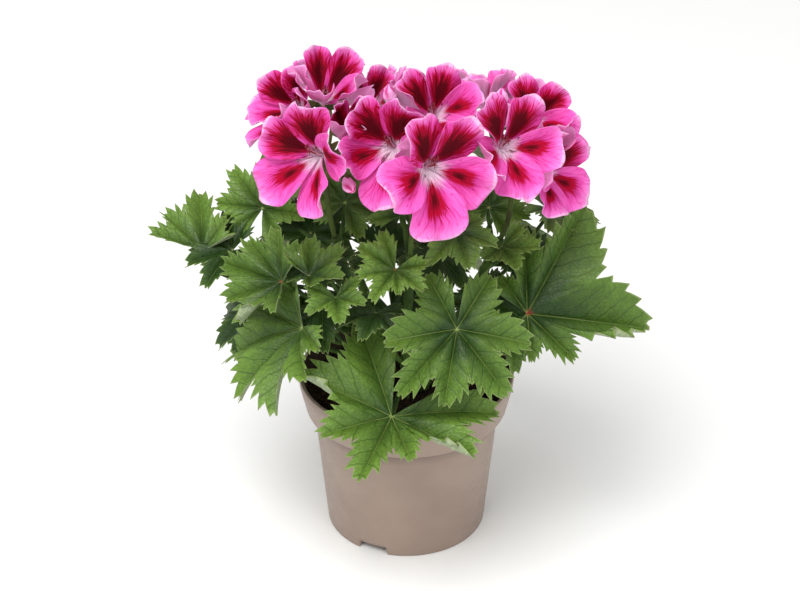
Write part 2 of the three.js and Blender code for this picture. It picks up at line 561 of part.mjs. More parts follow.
// The compost: it fills the pot with a small gap to its wall, and each stem stands in a plain hole.
function soilSolid() {
  const bottom = FLOOR_HEIGHT + WALL + CLEARANCE;
  const lowRadius = BASE_RADIUS - WALL + 0.6 - CLEARANCE;
  const shoulderHeight = COLLAR_FOOT_HEIGHT - 1;
  const shoulderRadius = BODY_TOP_RADIUS - WALL - CLEARANCE * 1.2;
  const topRadius = COLLAR_FOOT_RADIUS - WALL - CLEARANCE + 1;
  const points = [vec(0, 0, bottom)];
  const place = (i, r, z) => points.push(direction((360 * i) / POT_SIDES + 90, 0).multiplyScalar(r).setZ(z));
  const rings = [
    [lowRadius, bottom], [shoulderRadius, shoulderHeight],
    [COLLAR_FOOT_RADIUS - WALL - 0.8, COLLAR_FOOT_HEIGHT + 2.4], [topRadius, SOIL_TOP],
  ];
  for (const [r, z] of rings) {
    for (let i = 0; i < POT_SIDES; i++) place(i, r, z);
  }
  for (let k = 1; k < SOIL_RINGS; k++) {
    const share = k / SOIL_RINGS;
    for (let i = 0; i < POT_SIDES; i++) {
      const crumb = 1.1 * vary(i + 1, 60 + k);
      place(i, topRadius * (1 - share), SOIL_TOP + SOIL_MOUND * share + crumb);
    }
  }
  points.push(vec(0, 0, SOIL_TOP + SOIL_MOUND));
  const count = rings.length + SOIL_RINGS - 1;
  const at = (ring, i) => 1 + ring * POT_SIDES + (i % POT_SIDES);
  const triangles = [];
  for (let i = 0; i < POT_SIDES; i++) {
    triangles.push([0, at(0, i + 1), at(0, i)]);
    for (let k = 0; k + 1 < count; k++)
      triangles.push([at(k, i), at(k, i + 1), at(k + 1, i)], [at(k, i + 1), at(k + 1, i + 1), at(k + 1, i)]);
    triangles.push([at(count - 1, i), at(count - 1, i + 1), points.length - 1]);
  }
  const fill = solidFrom(points, triangles);
  const holes = STEMS.map((stem) => {
    const foot = vec(...stem.points[0]).setZ(SOIL_TOP - STEM_DEPTH - CLEARANCE);
    return frustum(foot, vec(0, 0, 1), STEM_DEPTH + 10, STEM_RADIUS + HOLE_EASE, STEM_RADIUS + HOLE_EASE, 8);
  });
  return holes.reduce((soil, hole) => soil.subtract(hole), fill);
}

// A named mesh of a solid.
function mesh(name, solid, material) {
  const { numProp, numVert, vertProperties, triVerts } = solid.getMesh();
  const positions = new Float32Array(numVert * 3);
  for (let i = 0; i < numVert; i++) {
    positions.set(vertProperties.subarray(i * numProp, i * numProp + 3), i * 3);
  }
  const geometry = new THREE.BufferGeometry();
  geometry.setAttribute("position", new THREE.BufferAttribute(positions, 3));
  geometry.setIndex(new THREE.BufferAttribute(triVerts, 1));
  const made = new THREE.Mesh(geometry, material);
  made.name = name;
  return made;
}

const surface = (color, roughness) => new THREE.MeshStandardMaterial({ color, roughness, metalness: 0 });
const plastic = surface("#a1907f", 0.45);
const compost = surface("#2b1d14", 0.95);
const green = surface("#4d7a34", 0.6);
const pink = surface("#e8489c", 0.6);

const plant = new THREE.Group();
plant.add(mesh("pot", potSolid(), plastic));
plant.add(mesh("soil", soilSolid(), compost));
for (const stem of STEMS) plant.add(mesh(`leafy_stem_${stem.name}`, leafyStem(stem), green));
blooms.forEach((bloom, i) => plant.add(mesh(`bloom_${i + 1}`, bloomSolid(bloom), pink)));
BUDS.forEach(([, x, y, z, azimuth, elevation, length], i) => {
  plant.add(mesh(`bud_${i + 1}`, budSolid(vec(x, y, z), direction(azimuth, elevation), length), pink));
});

export default plant;
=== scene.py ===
"""A regal pelargonium in its nursery pot: pot, compost, stalks, blades, petals, stamens and buds.

The tables and surface functions are in millimetres, +Z up and -Y to the front. Meshes are in metres.
"""
from functools import partial

import bpy
import numpy as np
from bpy.props import FloatProperty, FloatVectorProperty, IntProperty, PointerProperty
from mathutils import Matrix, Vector


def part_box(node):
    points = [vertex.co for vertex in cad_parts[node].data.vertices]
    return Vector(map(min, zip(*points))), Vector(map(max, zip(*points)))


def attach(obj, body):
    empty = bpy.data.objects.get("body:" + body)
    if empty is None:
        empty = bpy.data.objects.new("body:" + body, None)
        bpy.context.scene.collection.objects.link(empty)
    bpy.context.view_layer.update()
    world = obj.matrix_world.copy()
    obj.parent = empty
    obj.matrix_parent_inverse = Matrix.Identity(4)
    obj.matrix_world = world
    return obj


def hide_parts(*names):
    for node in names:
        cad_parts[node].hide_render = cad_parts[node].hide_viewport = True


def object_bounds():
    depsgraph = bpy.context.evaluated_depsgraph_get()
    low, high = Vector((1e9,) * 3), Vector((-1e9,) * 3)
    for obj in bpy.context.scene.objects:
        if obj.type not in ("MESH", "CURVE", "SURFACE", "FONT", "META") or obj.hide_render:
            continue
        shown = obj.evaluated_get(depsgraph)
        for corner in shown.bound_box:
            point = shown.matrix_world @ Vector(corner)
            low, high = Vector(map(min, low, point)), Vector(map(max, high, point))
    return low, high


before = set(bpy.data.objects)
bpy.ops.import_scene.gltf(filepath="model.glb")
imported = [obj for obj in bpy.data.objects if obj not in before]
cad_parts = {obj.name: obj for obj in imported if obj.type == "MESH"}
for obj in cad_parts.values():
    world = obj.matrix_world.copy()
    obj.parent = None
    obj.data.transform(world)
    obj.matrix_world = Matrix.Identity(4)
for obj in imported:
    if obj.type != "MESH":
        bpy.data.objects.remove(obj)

bl_info = {
    "name": "Potted regal pelargonium",
    "version": (1, 0, 0),
    "blender": (4, 5, 0),
    "location": "View3D > Sidebar > Pelargonium",
    "description": "Builds the visible surfaces of a potted regal pelargonium around its frame",
    "category": "Add Mesh",
}

CAD_BOX = [list(corner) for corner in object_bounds()]
BODY = "root"
MM = 0.001
# The property that a shader node's mode sets.
MODES = {"Attribute": "attribute_name", "MapRange": "interpolation_type", "Math": "operation",
         "Mix": "data_type", "TexVoronoi": "feature"}
# Outputs by number: Object coordinates, and an attribute as a vector or as a value.
OBJECT, VECTOR, VALUE = 3, 1, 2
# Points in the outer 20 mm on each side are drawn in, so that what stands this far past the solids' box,
# along X, Y and Z, ends on it.
DRAWN_ZONE = 20
PAST_BOX = np.array([1.7, 3.9, 0.3])
VIEW_MIDDLE = (-0.0035, 0, 0.141)

# The pot's notches: half their angle at the foot and at the top. Its profile is cut into steps this long.
NOTCH_FOOT = 11.5
NOTCH_TOP = 10.2
PROFILE_STEP = 6
COMPOST_LEVEL = 83
COMPOST_RADIUS = 55

# Leafy stems: where each leaves the compost, where it bends, and where it ends.
STEMS = {
    "left": [(-10, -4, 88), (-24, -9, 130), (-38, -10, 186)],
    "front": [(-1, -12, 88), (0, -22, 130), (2, -32, 188)],
    "right": [(10, -4, 88), (27, -7, 130), (50, -8, 184)],
    "right_back": [(9, 7, 88), (19, 17, 125), (36, 34, 165)],
    "back": [(0, 12, 88), (3, 26, 130), (6, 36, 178)],
    "left_back": [(-9, 7, 88), (-20, 18, 125), (-36, 34, 165)],
}
STEM_FOOT = 61
STEM_STEPS = 100

# Leaves: name, stem, share of the stem where the petiole starts, petiole top, azimuth and elevation of the
# face, turn of the central lobe from downhill, size from petiole to central tip, cup, droop.
LEAVES = [
    ("front_low", "front", 0.15, -8, -72, 113, -78, 63, -38, 58, 0.3, 0.15),
    ("front_right", "front", 0.45, 26, -62, 161, -88, 41, -3, 46, 0.2, 0.3),
    ("front_centre", "front", 0.8, -6, -52, 191, -91, 54, -33, 24, 0.35, 0.2),
    ("front_dark", "front", 0.35, -16, -46, 161, -85, 80, -22, 21, 0.25, 0.45),
    ("front_high", "front", 0.9, 26, -35, 203, -80, 70, 10, 24, 0.2, 0.35),
    ("front_shade", "front", 0.25, -8, -26, 150, -80, 55, 20, 27, 0.2, 0.4),
    ("front_inner", "front", 0.7, 18, -16, 178, -90, 62, -20, 25, 0.2, 0.3),
    ("front_back", "front", 0.9, -2, -6, 198, -95, 42, 170, 25, 0.2, 0.3),
    ("left_low", "left", 0.3, -55, -40, 148, -158, 39, -10, 55, 0.33, 0.25),
    ("left_mid", "left", 0.5, -66, -28, 169, -144, 43, -72, 34, 0.4, 0.05),
    ("left_cup", "left", 0.45, -37, -52, 174, -104, 70, 19, 20, 0.4, 0.3),
    ("left_small", "left", 0.75, -51, -40, 180, -90, 75, 120, 22, 0.45, -0.05),
    ("left_far", "left", 0.6, -110, 4, 170, -118, 78, -75, 32, 0.5, 0.1),
    ("left_inner", "left", 0.6, -43, -22, 178, -105, 60, 0, 24, 0.2, 0.3),
    ("left_shade", "left", 0.2, -45, -18, 146, -100, 58, 10, 24, 0.2, 0.35),
    ("left_back", "left", 0.9, -33, 8, 197, -92, 44, 165, 31, 0.2, 0.3),
    ("left_high", "left", 0.85, -78, 20, 187, -110, 35, 180, 30, 0.25, 0.2),
    ("left_behind", "left", 0.15, -82, -10, 137, -140, 45, -30, 28, 0.2, 0.35),
    ("right_big", "right", 0.4, 64, -32, 152, -80, 33, 83, 62, 0.15, 0.2),
    ("right_inner", "right", 0.5, 42, -26, 158, -70, 55, 0, 28, 0.2, 0.3),
    ("right_shade", "right", 0.6, 62, 8, 166, -60, 55, 30, 25, 0.2, 0.3),
    ("right_back_wall", "right", 0.9, 44, 8, 194, -80, 42, 170, 30, 0.2, 0.3),
    ("right_curl", "right", 0.85, 50, -20, 186, -80, 60, 10, 21, 0.5, 0),
    ("right_low", "right", 0.15, 56, -8, 126, -60, 45, -10, 22, 0.2, 0.4),
    ("right_high", "right", 0.8, 77, 15, 189, 0, 72, 0, 30, 0.2, 0.25),
    ("right_back_low", "right_back", 0.3, 66, 40, 128, 30, 45, 0, 36, 0.2, 0.35),
    ("right_back_mid", "right_back", 0.6, 50, 70, 154, 48, 44, 5, 42, 0.2, 0.3),
    ("right_back_high", "right_back", 0.95, 52, 50, 196, 48, 42, 0, 38, 0.25, 0.25),
    ("back_low", "back", 0.3, 12, 84, 128, 85, 40, 0, 44, 0.2, 0.3),
    ("back_mid", "back", 0.6, -6, 84, 164, 100, 42, 10, 42, 0.2, 0.25),
    ("back_high", "back", 0.85, 2, 68, 198, 90, 38, 0, 37, 0.25, 0.2),
    ("left_back_low", "left_back", 0.3, -66, 44, 128, 150, 46, 0, 36, 0.2, 0.35),
    ("left_back_mid", "left_back", 0.6, -52, 66, 154, 132, 44, 5, 42, 0.2, 0.3),
    ("left_back_high", "left_back", 0.95, -48, 46, 194, 132, 44, 0, 38, 0.25, 0.25),
    ("left_deep", "left", 0.75, -52, 12, 176, -95, 50, 180, 28, 0.2, 0.3),
    ("front_deep", "front", 0.55, -12, 4, 170, -90, 50, 180, 26, 0.2, 0.3),
    ("left_gap", "left", 0.65, -94, 4, 170, -110, 60, -60, 27.5, 0.25, 0.25),
]

# Blades whose lobes differ from the usual spread: angle from the central lobe, and length.
LOBES = {
    "front_low": [(-133, 0.92), (-82, 0.88), (-38, 0.72), (6, 0.85), (45, 0.56), (84, 0.88), (120, 0.98)],
    "front_right": [(-150, 0.72), (-78, 0.84), (-40, 1), (-8, 0.88), (39, 0.95), (81, 0.86), (150, 0.74)],
    "left_low": [(-105, 0.7), (-62, 0.85), (-28, 1), (8, 0.95), (50, 0.93), (80, 0.74), (106, 0.66)],
    "left_mid": [(-117, 0.68), (-74, 0.78), (-34, 0.86), (-2, 1.05), (34, 0.92), (74, 0.9), (120, 0.62)],
    "front_centre": [(-128, 0.88), (-88, 0.92), (-40, 0.82), (2, 0.95), (40, 0.66), (82, 0.83), (130, 0.72)],
    "right_big": [(-130, 0.4), (-84, 0.42), (-42, 0.58), (-5, 1.13), (63, 1.08), (94, 0.74), (128, 0.4)],
    "left_far": [(-165, 0.55), (-120, 0.66), (-75, 1.03), (-30, 0.91), (2, 0.93)],
}
# Words in the names of the blades inside the plant, whose green gets painted shade for the shade that the
# outer blades cast.
INNER = ("inner", "shade", "deep", "behind", "gap", "dark")
INNER_PAINTED_SHADE = -2.2
# Margins that roll up and show the underside: the lobe's number, and 1 for its side toward the lobe before
# it or -1 toward the next.
ROLLED = {"front_low": ((1, -1), (5, 1)), "right_big": ((3, 1),), "left_mid": ((5, -1),)}
# Blades whose lobes narrow faster toward the tip, which opens the gaps between them.
FULLNESS = {"front_low": 1.2, "right_big": 1.15, "left_low": 1.3}
USUAL_FULLNESS = 1.45
# Blades with a red stain where the petiole meets them.
STAINED = ("right_big", "front_centre", "left_mid", "back_mid")
ROLL_WIDTH = 7
ROLL_RADIUS = 2.7
LOBE_STEP = 46
LOBE_LENGTHS = (0.66, 0.84, 0.96, 1, 0.96, 0.84, 0.66)
SMALL_LEAF = 27
SMALL_LOBE_STEP = 58
SMALL_LOBE_LENGTHS = (0.74, 0.92, 1, 0.92, 0.74)
# The lobes beside the petiole: half their width, and how far round from the central lobe they may reach.
LAST_HALF_LOBE = 22
LAST_ANGLE = 175
SINUS_DEPTH = 0.6
BASAL_SINUS = 0.42
# One tooth in shares of its step and of its height, and the tip that follows the last tooth.
TOOTH_STEPS = np.array([0, 0.25, 0.5, 0.72, 0.86])
TOOTH_RISE = (-0.45, 0.05, 0.5, 1, 0.2)
TEETH_END = 0.94
TIP_STEPS = (TEETH_END, 0.97, 1)
TIP_RISE = (-0.2, 0.1, 0)
# Where the rows of points lie between petiole and margin.
LARGE_LEAF = 40
LARGE_ROWS = np.array([0.03, 0.1, 0.19, 0.29, 0.39, 0.49, 0.58, 0.67, 0.75, 0.82, 0.88, 0.93, 0.965,
                       0.985, 1])
SMALL_ROWS = np.array([0.04, 0.16, 0.3, 0.45, 0.6, 0.74, 0.86, 0.94, 0.98, 1])
PLEAT = 0.16
# Side veins stand this far apart on a blade of the usual size.
VEIN_STEP = 7.5
USUAL_SIZE = 46

# Heads of bloom: where the stalks of each meet.
HEADS = {"left": (-42, -8, 224), "front": (3, -36, 226), "right": (55, -8, 220), "back": (8, 36, 206)}

# Blooms: head, throat, azimuth and elevation of the face, turn, petal length, and how far the petals' tips
# rise over the bloom's plane in degrees.
BLOOMS = [
    ("left", -42, -42, 253, -128, 15, 38, 38, 36),
    ("left", -54, -14, 264, -122, 38, 35, 29, 48),
    ("left", -43, -12, 266, -75, 70, -25, 33, 52),
    ("left", -61, 6, 245, -155, 40, 0, 26, 35),
    ("left", -20, 10, 252, -60, 55, 0, 27, 40),
    ("left", -42, 24, 252, 105, 40, 0, 29, 35),
    ("front", -6, -41, 257, -112, 20, 12, 37, 32),
    ("front", 8, -75, 264, -58, 10, -10, 37, 26),
    ("front", 13, -28, 266, -72, 48, 14, 33, 40),
    ("front", 4, -6, 254, 80, 60, 0, 27, 40),
    ("right", 46, -46, 259, -55, 26, -5, 35, 32),
    ("right", 66, -28, 236, -32, 14, -40, 31, 34),
    ("right", 63, -8, 253, -80, 45, -20, 30, 38),
    ("right", 42, 4, 252, 110, 60, 0, 28, 45),
    ("right", 71, -3, 240, -15, 45, 0, 25, 36),
    ("right", 57, 20, 240, 75, 45, 0, 28, 36),
    ("back", 10, 60, 226, 90, 30, 0, 30, 28),
    ("back", -18, 52, 230, 125, 45, 0, 28, 34),
    ("back", 36, 52, 230, 60, 45, 0, 28, 34),
    ("left", -30, -27, 256, -80, 40, 0, 27, 45),
]

# The five petals, counter-clockwise from the top of the bloom: angle of the axis, length as a share of the
# bloom's, half the sector, and 1 for the two upper petals with the large blotch.
PETALS = [(34, 0.94, 34, 1), (105, 1, 37, 0), (180, 1, 38, 0), (255, 1, 37, 0), (326, 0.94, 34, 1)]

PETAL_SEED = 51
THROAT_ANGLE = 54
# Petals keep this gap to the plane halfway to the next bloom, and stand no steeper than this. A bloom with
# longer petals than this follows the swing away from its neighbours by a smaller share.
PETAL_GAP = 0.8
STEEPEST = 76
LARGE_BLOOM = 30
LARGE_YIELDING = 0.62
SMALL_YIELDING = 0.88

# Furled buds: head, base, azimuth and elevation, and length.
BUDS = [
    ("left", -31, -50, 243, -75, 0, 14),
    ("front", -8, -22, 270, -120, 80, 13),
    ("right", 48, -24, 270, -90, 75, 13),
    ("back", 8, 40, 238, 60, 70, 14),
]

# Cups under a bloom and under a bud: depth and radius. The sepals start at CALYX_RADIUS.
BLOOM_CUP = [(7.4, 0.9), (6.6, 1.5), (5.2, 2.0), (3.8, 2.3), (2.4, 2.3)]
BUD_CUP = [(5.0, 0.9), (4.0, 1.5), (2.6, 2.0), (1.0, 2.1), (0.3, 1.4)]
CALYX_RADIUS = 1.6


def linear(text):
    """An sRGB hex colour as linear red, green, blue and alpha."""
    parts = np.array([int(text[i:i + 2], 16) for i in (1, 3, 5)]) / 255
    low = parts <= 0.04045
    return (*np.where(low, parts / 12.92, ((parts + 0.055) / 1.055) ** 2.4).tolist(), 1.0)


def colour(name, text, note):
    """A colour property whose default is an sRGB hex colour."""
    return FloatVectorProperty(name=name, description=note, subtype="COLOR", size=4, min=0, max=1,
                               default=linear(text))


def length(name, metres, note):
    """A length property in metres."""
    return FloatProperty(name=name, description=note, default=metres, min=0, unit="LENGTH", precision=5)


def unit(vectors):
    """Vectors divided by their lengths."""
    return vectors / np.maximum(np.linalg.norm(vectors, axis=-1, keepdims=True), 1e-12)


def direction(azimuth, elevation):
    """The unit vector (cos e cos a, cos e sin a, sin e) for angles in degrees."""
    a, e = np.radians(azimuth), np.radians(elevation)
    return np.array([np.cos(e) * np.cos(a), np.cos(e) * np.sin(a), np.sin(e)])


def vary(seed, channel):
    """A fixed pseudo-random number in -1..1, from the fraction of 43758.5453 sin(12.9898 s + 78.233 c)."""
    s = np.sin(seed * 12.9898 + channel * 78.233) * 43758.5453
    return 2 * (s - np.floor(s)) - 1


def facing(azimuth, elevation, turn=0):
    """Normal, along and across of a face: along is the downhill direction in its plane, swung by turn."""
    normal = direction(azimuth, elevation)
    downhill = direction(azimuth, elevation - 90)
    side = np.cross(normal, downhill)
    along = downhill * np.cos(np.radians(turn)) + side * np.sin(np.radians(turn))
    return normal, along, np.cross(normal, along)


def grid(rows, columns, closed=False):
    """The quads of a grid of points, wound from a row to the next and then along the columns."""
    r, c = np.mgrid[:rows - 1, :columns if closed else columns - 1]
    after = (c + 1) % columns
    corners = [r * columns + c, (r + 1) * columns + c, (r + 1) * columns + after, r * columns + after]
    return np.stack(corners, -1).reshape(-1, 4)


def border(rows, columns):
    """The loop of point numbers round a grid, in the direction that its quads are wound."""
    down = np.arange(rows) * columns
    last = (rows - 1) * columns + np.arange(1, columns)
    return np.concatenate([down, last, down[::-1][1:] + columns - 1, np.arange(1, columns - 1)[::-1]])


def fan(centre, ring):
    """Triangles from a centre to each step of a ring."""
    return np.stack([np.full(len(ring) - 1, centre), ring[:-1], ring[1:]], -1)


def capped(rings, start, end):
    """A closed surface over rings of points, one ring in each row, with a pole at start and at end. Returns
    points, quads and triangles."""
    rows, sides = rings.shape[:2]
    ring, count = np.append(np.arange(sides), 0), rows * sides
    ends = np.concatenate([fan(count, ring), fan(count + 1, ring + count - sides)[:, ::-1]])
    return np.concatenate([rings.reshape(-1, 3), [start], [end]]), grid(rows, sides, closed=True), ends


NO_TRIANGLES = np.zeros((0, 3), int)


class Gathered:
    """Closed surfaces gathered into one mesh, with values on each point for the materials to read."""

    def __init__(self):
        self.points, self.quads, self.triangles, self.values, self.count = [], [], [], {}, 0

    def add(self, points, quads, triangles=NO_TRIANGLES, **values):
        """Adds a closed surface, turned right side out, with a number or a vector on each point."""
        a, b, c, d = (points[quads[:, k]] for k in range(4))
        e, f, g = (points[triangles[:, k]] for k in range(3))
        volume = np.einsum("ij,ij", a, np.cross(b, c)) + np.einsum("ij,ij", a, np.cross(c, d))
        if volume + np.einsum("ij,ij", e, np.cross(f, g)) < 0:
            quads, triangles = quads[:, ::-1], triangles[:, ::-1]
        self.points.append(points)
        self.quads.append(quads + self.count)
        self.triangles.append(triangles + self.count)
        for name, value in values.items():
            value = np.asarray(value, float)
            self.values.setdefault(name, []).append(value if value.ndim else np.full(len(points), value))
        self.count += len(points)

    def piece(self, name, material, slot, *nodes):
        """One smooth-shaded object of all the surfaces. It rides on the body and stands for the nodes."""
        mesh = bpy.data.meshes.new(name)
        points = drawn_in(np.concatenate(self.points)) * MM
        quads, triangles = np.concatenate(self.quads), np.concatenate(self.triangles)
        corners = np.concatenate([quads.ravel(), triangles.ravel()])
        starts = np.concatenate([np.arange(len(quads)) * 4, len(quads) * 4 + np.arange(len(triangles)) * 3])
        mesh.vertices.add(len(points))
        mesh.vertices.foreach_set("co", points.astype(np.float32).ravel())
        mesh.loops.add(len(corners))
        mesh.loops.foreach_set("vertex_index", corners.astype(np.int32))
        mesh.polygons.add(len(starts))
        mesh.polygons.foreach_set("loop_start", starts.astype(np.int32))
        mesh.polygons.foreach_set("use_smooth", np.ones(len(starts), bool))
        for key, values in self.values.items():
            data = np.concatenate(values)
            kind, field = ("FLOAT_VECTOR", "vector") if data.ndim == 2 else ("FLOAT", "value")
            layer = mesh.attributes.new(key, kind, "POINT")
            layer.data.foreach_set(field, data.astype(np.float32).ravel())
        mesh.update(calc_edges=True)
        mesh.materials.append(material)
        made = bpy.data.objects.new(name, mesh)
        bpy.context.scene.collection.objects.link(made)
        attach(made, BODY)
        if nodes:
            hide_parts(*nodes)


def drawn_in(points):
    """Coordinates in the outer zone next to each side of the solids' box, scaled down about its inner edge.
    The foot stays as it is."""
    low, high = (np.array(corner) / MM for corner in CAD_BOX)
    low[2] = -1000
    share = DRAWN_ZONE / (DRAWN_ZONE + PAST_BOX)
    top, bottom = high - DRAWN_ZONE, low + DRAWN_ZONE
    points = np.where(points > top, top + (points - top) * share, points)
    return np.where(points < bottom, bottom + (points - bottom) * share, points)


def thicken(points, quads, triangles, rim, thickness):
    """Both faces of a thin sheet: P + N t/2 and P - N t/2, N being the summed normals of the faces round P,
    joined round the rim. Returns points, quads, triangles and 1 on each point of the lower face."""
    normals = np.zeros_like(points)
    across = np.cross(points[quads[:, 2]] - points[quads[:, 0]], points[quads[:, 3]] - points[quads[:, 1]])
    around = np.cross(points[triangles[:, 1]] - points[triangles[:, 0]],
                      points[triangles[:, 2]] - points[triangles[:, 0]])
    for faces, vectors in ((quads, across), (triangles, around)):
        for k in range(faces.shape[1]):
            np.add.at(normals, faces[:, k], vectors)
    half = unit(normals) * (np.asarray(thickness) / 2).reshape(-1, 1)
    count, after = len(points), np.roll(rim, -1)
    edge = np.stack([after, rim, rim + count, after + count], -1)
    return (np.concatenate([points + half, points - half]),
            np.concatenate([quads, quads[:, ::-1] + count, edge]),
            np.concatenate([triangles, triangles[:, ::-1] + count]), np.repeat([0.0, 1.0], count))


def tube(path, radii, sides):
    """A tube: P(s, a) = path(s) + radius(s) (u cos a + v sin a), with u and v square to the path and level
    with the plane that the path lies closest to. Each end closes in a pole."""
    path = np.asarray(path, float)
    tangent = unit(np.gradient(path, axis=0))
    flat = np.linalg.svd(path - path.mean(0))[2][2]
    u = unit(np.cross(tangent, flat))
    v = np.cross(u, tangent)
    a = np.linspace(0, 2 * np.pi, sides, endpoint=False)[None, :, None]
    radius = np.broadcast_to(radii, len(path))[:, None, None]
    ring = path[:, None] + radius * (u[:, None] * np.cos(a) + v[:, None] * np.sin(a))
    return capped(ring, path[0], path[-1])


def bezier(start, leaving, end, arriving, steps):
    """A cubic curve from start to end that leaves and arrives along given directions."""
    reach = np.linalg.norm(end - start) * 0.4
    t = np.linspace(0, 1, steps)[:, None]
    bend, approach = start + leaving * reach, end - arriving * reach
    return ((1 - t) ** 3 * start + 3 * (1 - t) ** 2 * t * bend + 3 * (1 - t) * t ** 2 * approach
            + t ** 3 * end)


def stem_path(name):
    """A spline through the stem's points with tension 0.25, from its foot in the compost, in even steps."""
    knots = np.array([(*STEMS[name][0][:2], STEM_FOOT), *STEMS[name]], float)
    knots = np.concatenate([2 * knots[:1] - knots[1:2], knots, 2 * knots[-1:] - knots[-2:-1]])
    t = np.linspace(0, 1, 60)[:, None]
    spans = []
    for p0, p1, p2, p3 in zip(knots, knots[1:], knots[2:], knots[3:]):
        m0, m1 = 0.25 * (p2 - p0), 0.25 * (p3 - p1)
        spans.append(p1 + m0 * t + (3 * (p2 - p1) - 2 * m0 - m1) * t ** 2
                     + (2 * (p1 - p2) + m0 + m1) * t ** 3)
    path = np.concatenate(spans)
    run = np.concatenate([[0], np.cumsum(np.linalg.norm(np.diff(path, axis=0), axis=1))])
    even = np.linspace(0, run[-1], STEM_STEPS + 1)
    return np.stack([np.interp(even, run, path[:, k]) for k in range(3)], -1)


def rounded(profile, radius, steps=4):
    """A closed outline whose corners are parabolas that start and end at most radius from the corner."""
    points = np.array(profile, float)
    before, after = np.roll(points, 1, 0) - points, np.roll(points, -1, 0) - points
    reach = np.minimum(radius, 0.4 * np.minimum(*(np.linalg.norm(way, axis=1) for way in (before, after))))
    start, end = points + unit(before) * reach[:, None], points + unit(after) * reach[:, None]
    t = np.linspace(0, 1, steps)[None, :, None]
    arcs = (1 - t) ** 2 * start[:, None] + 2 * (1 - t) * t * points[:, None] + t ** 2 * end[:, None]
    return arcs.reshape(-1, 2)


def add_node(tree, kind, *inputs, out=0, **settings):
    """Adds one shader node and returns the chosen one of its open outputs. The second word of its kind sets
    its mode. Links and values fill its open inputs in order, and a dictionary fills them by name."""
    kind, *mode = kind.split()
    made = tree.nodes.new("ShaderNode" + kind)
    if mode:
        settings[MODES[kind]] = mode[0]
    for key, value in settings.items():
        setattr(made, key, value)
    if inputs and isinstance(inputs[0], dict):
        pairs = [(made.inputs[key], value) for key, value in inputs[0].items()]
    else:
        pairs = zip([socket for socket in made.inputs if socket.enabled], inputs)
    for socket, value in pairs:
        if isinstance(value, bpy.types.NodeSocket):
            tree.links.new(value, socket)
        else:
            socket.default_value = value
    results = [socket for socket in made.outputs if socket.enabled]
    return results[out] if results else made


def new_material(name):
    """An empty node material, and a function that adds nodes to it."""
    made = bpy.data.materials.new(name)
    made.use_nodes = True
    made.node_tree.nodes.clear()
    return made, partial(add_node, made.node_tree)


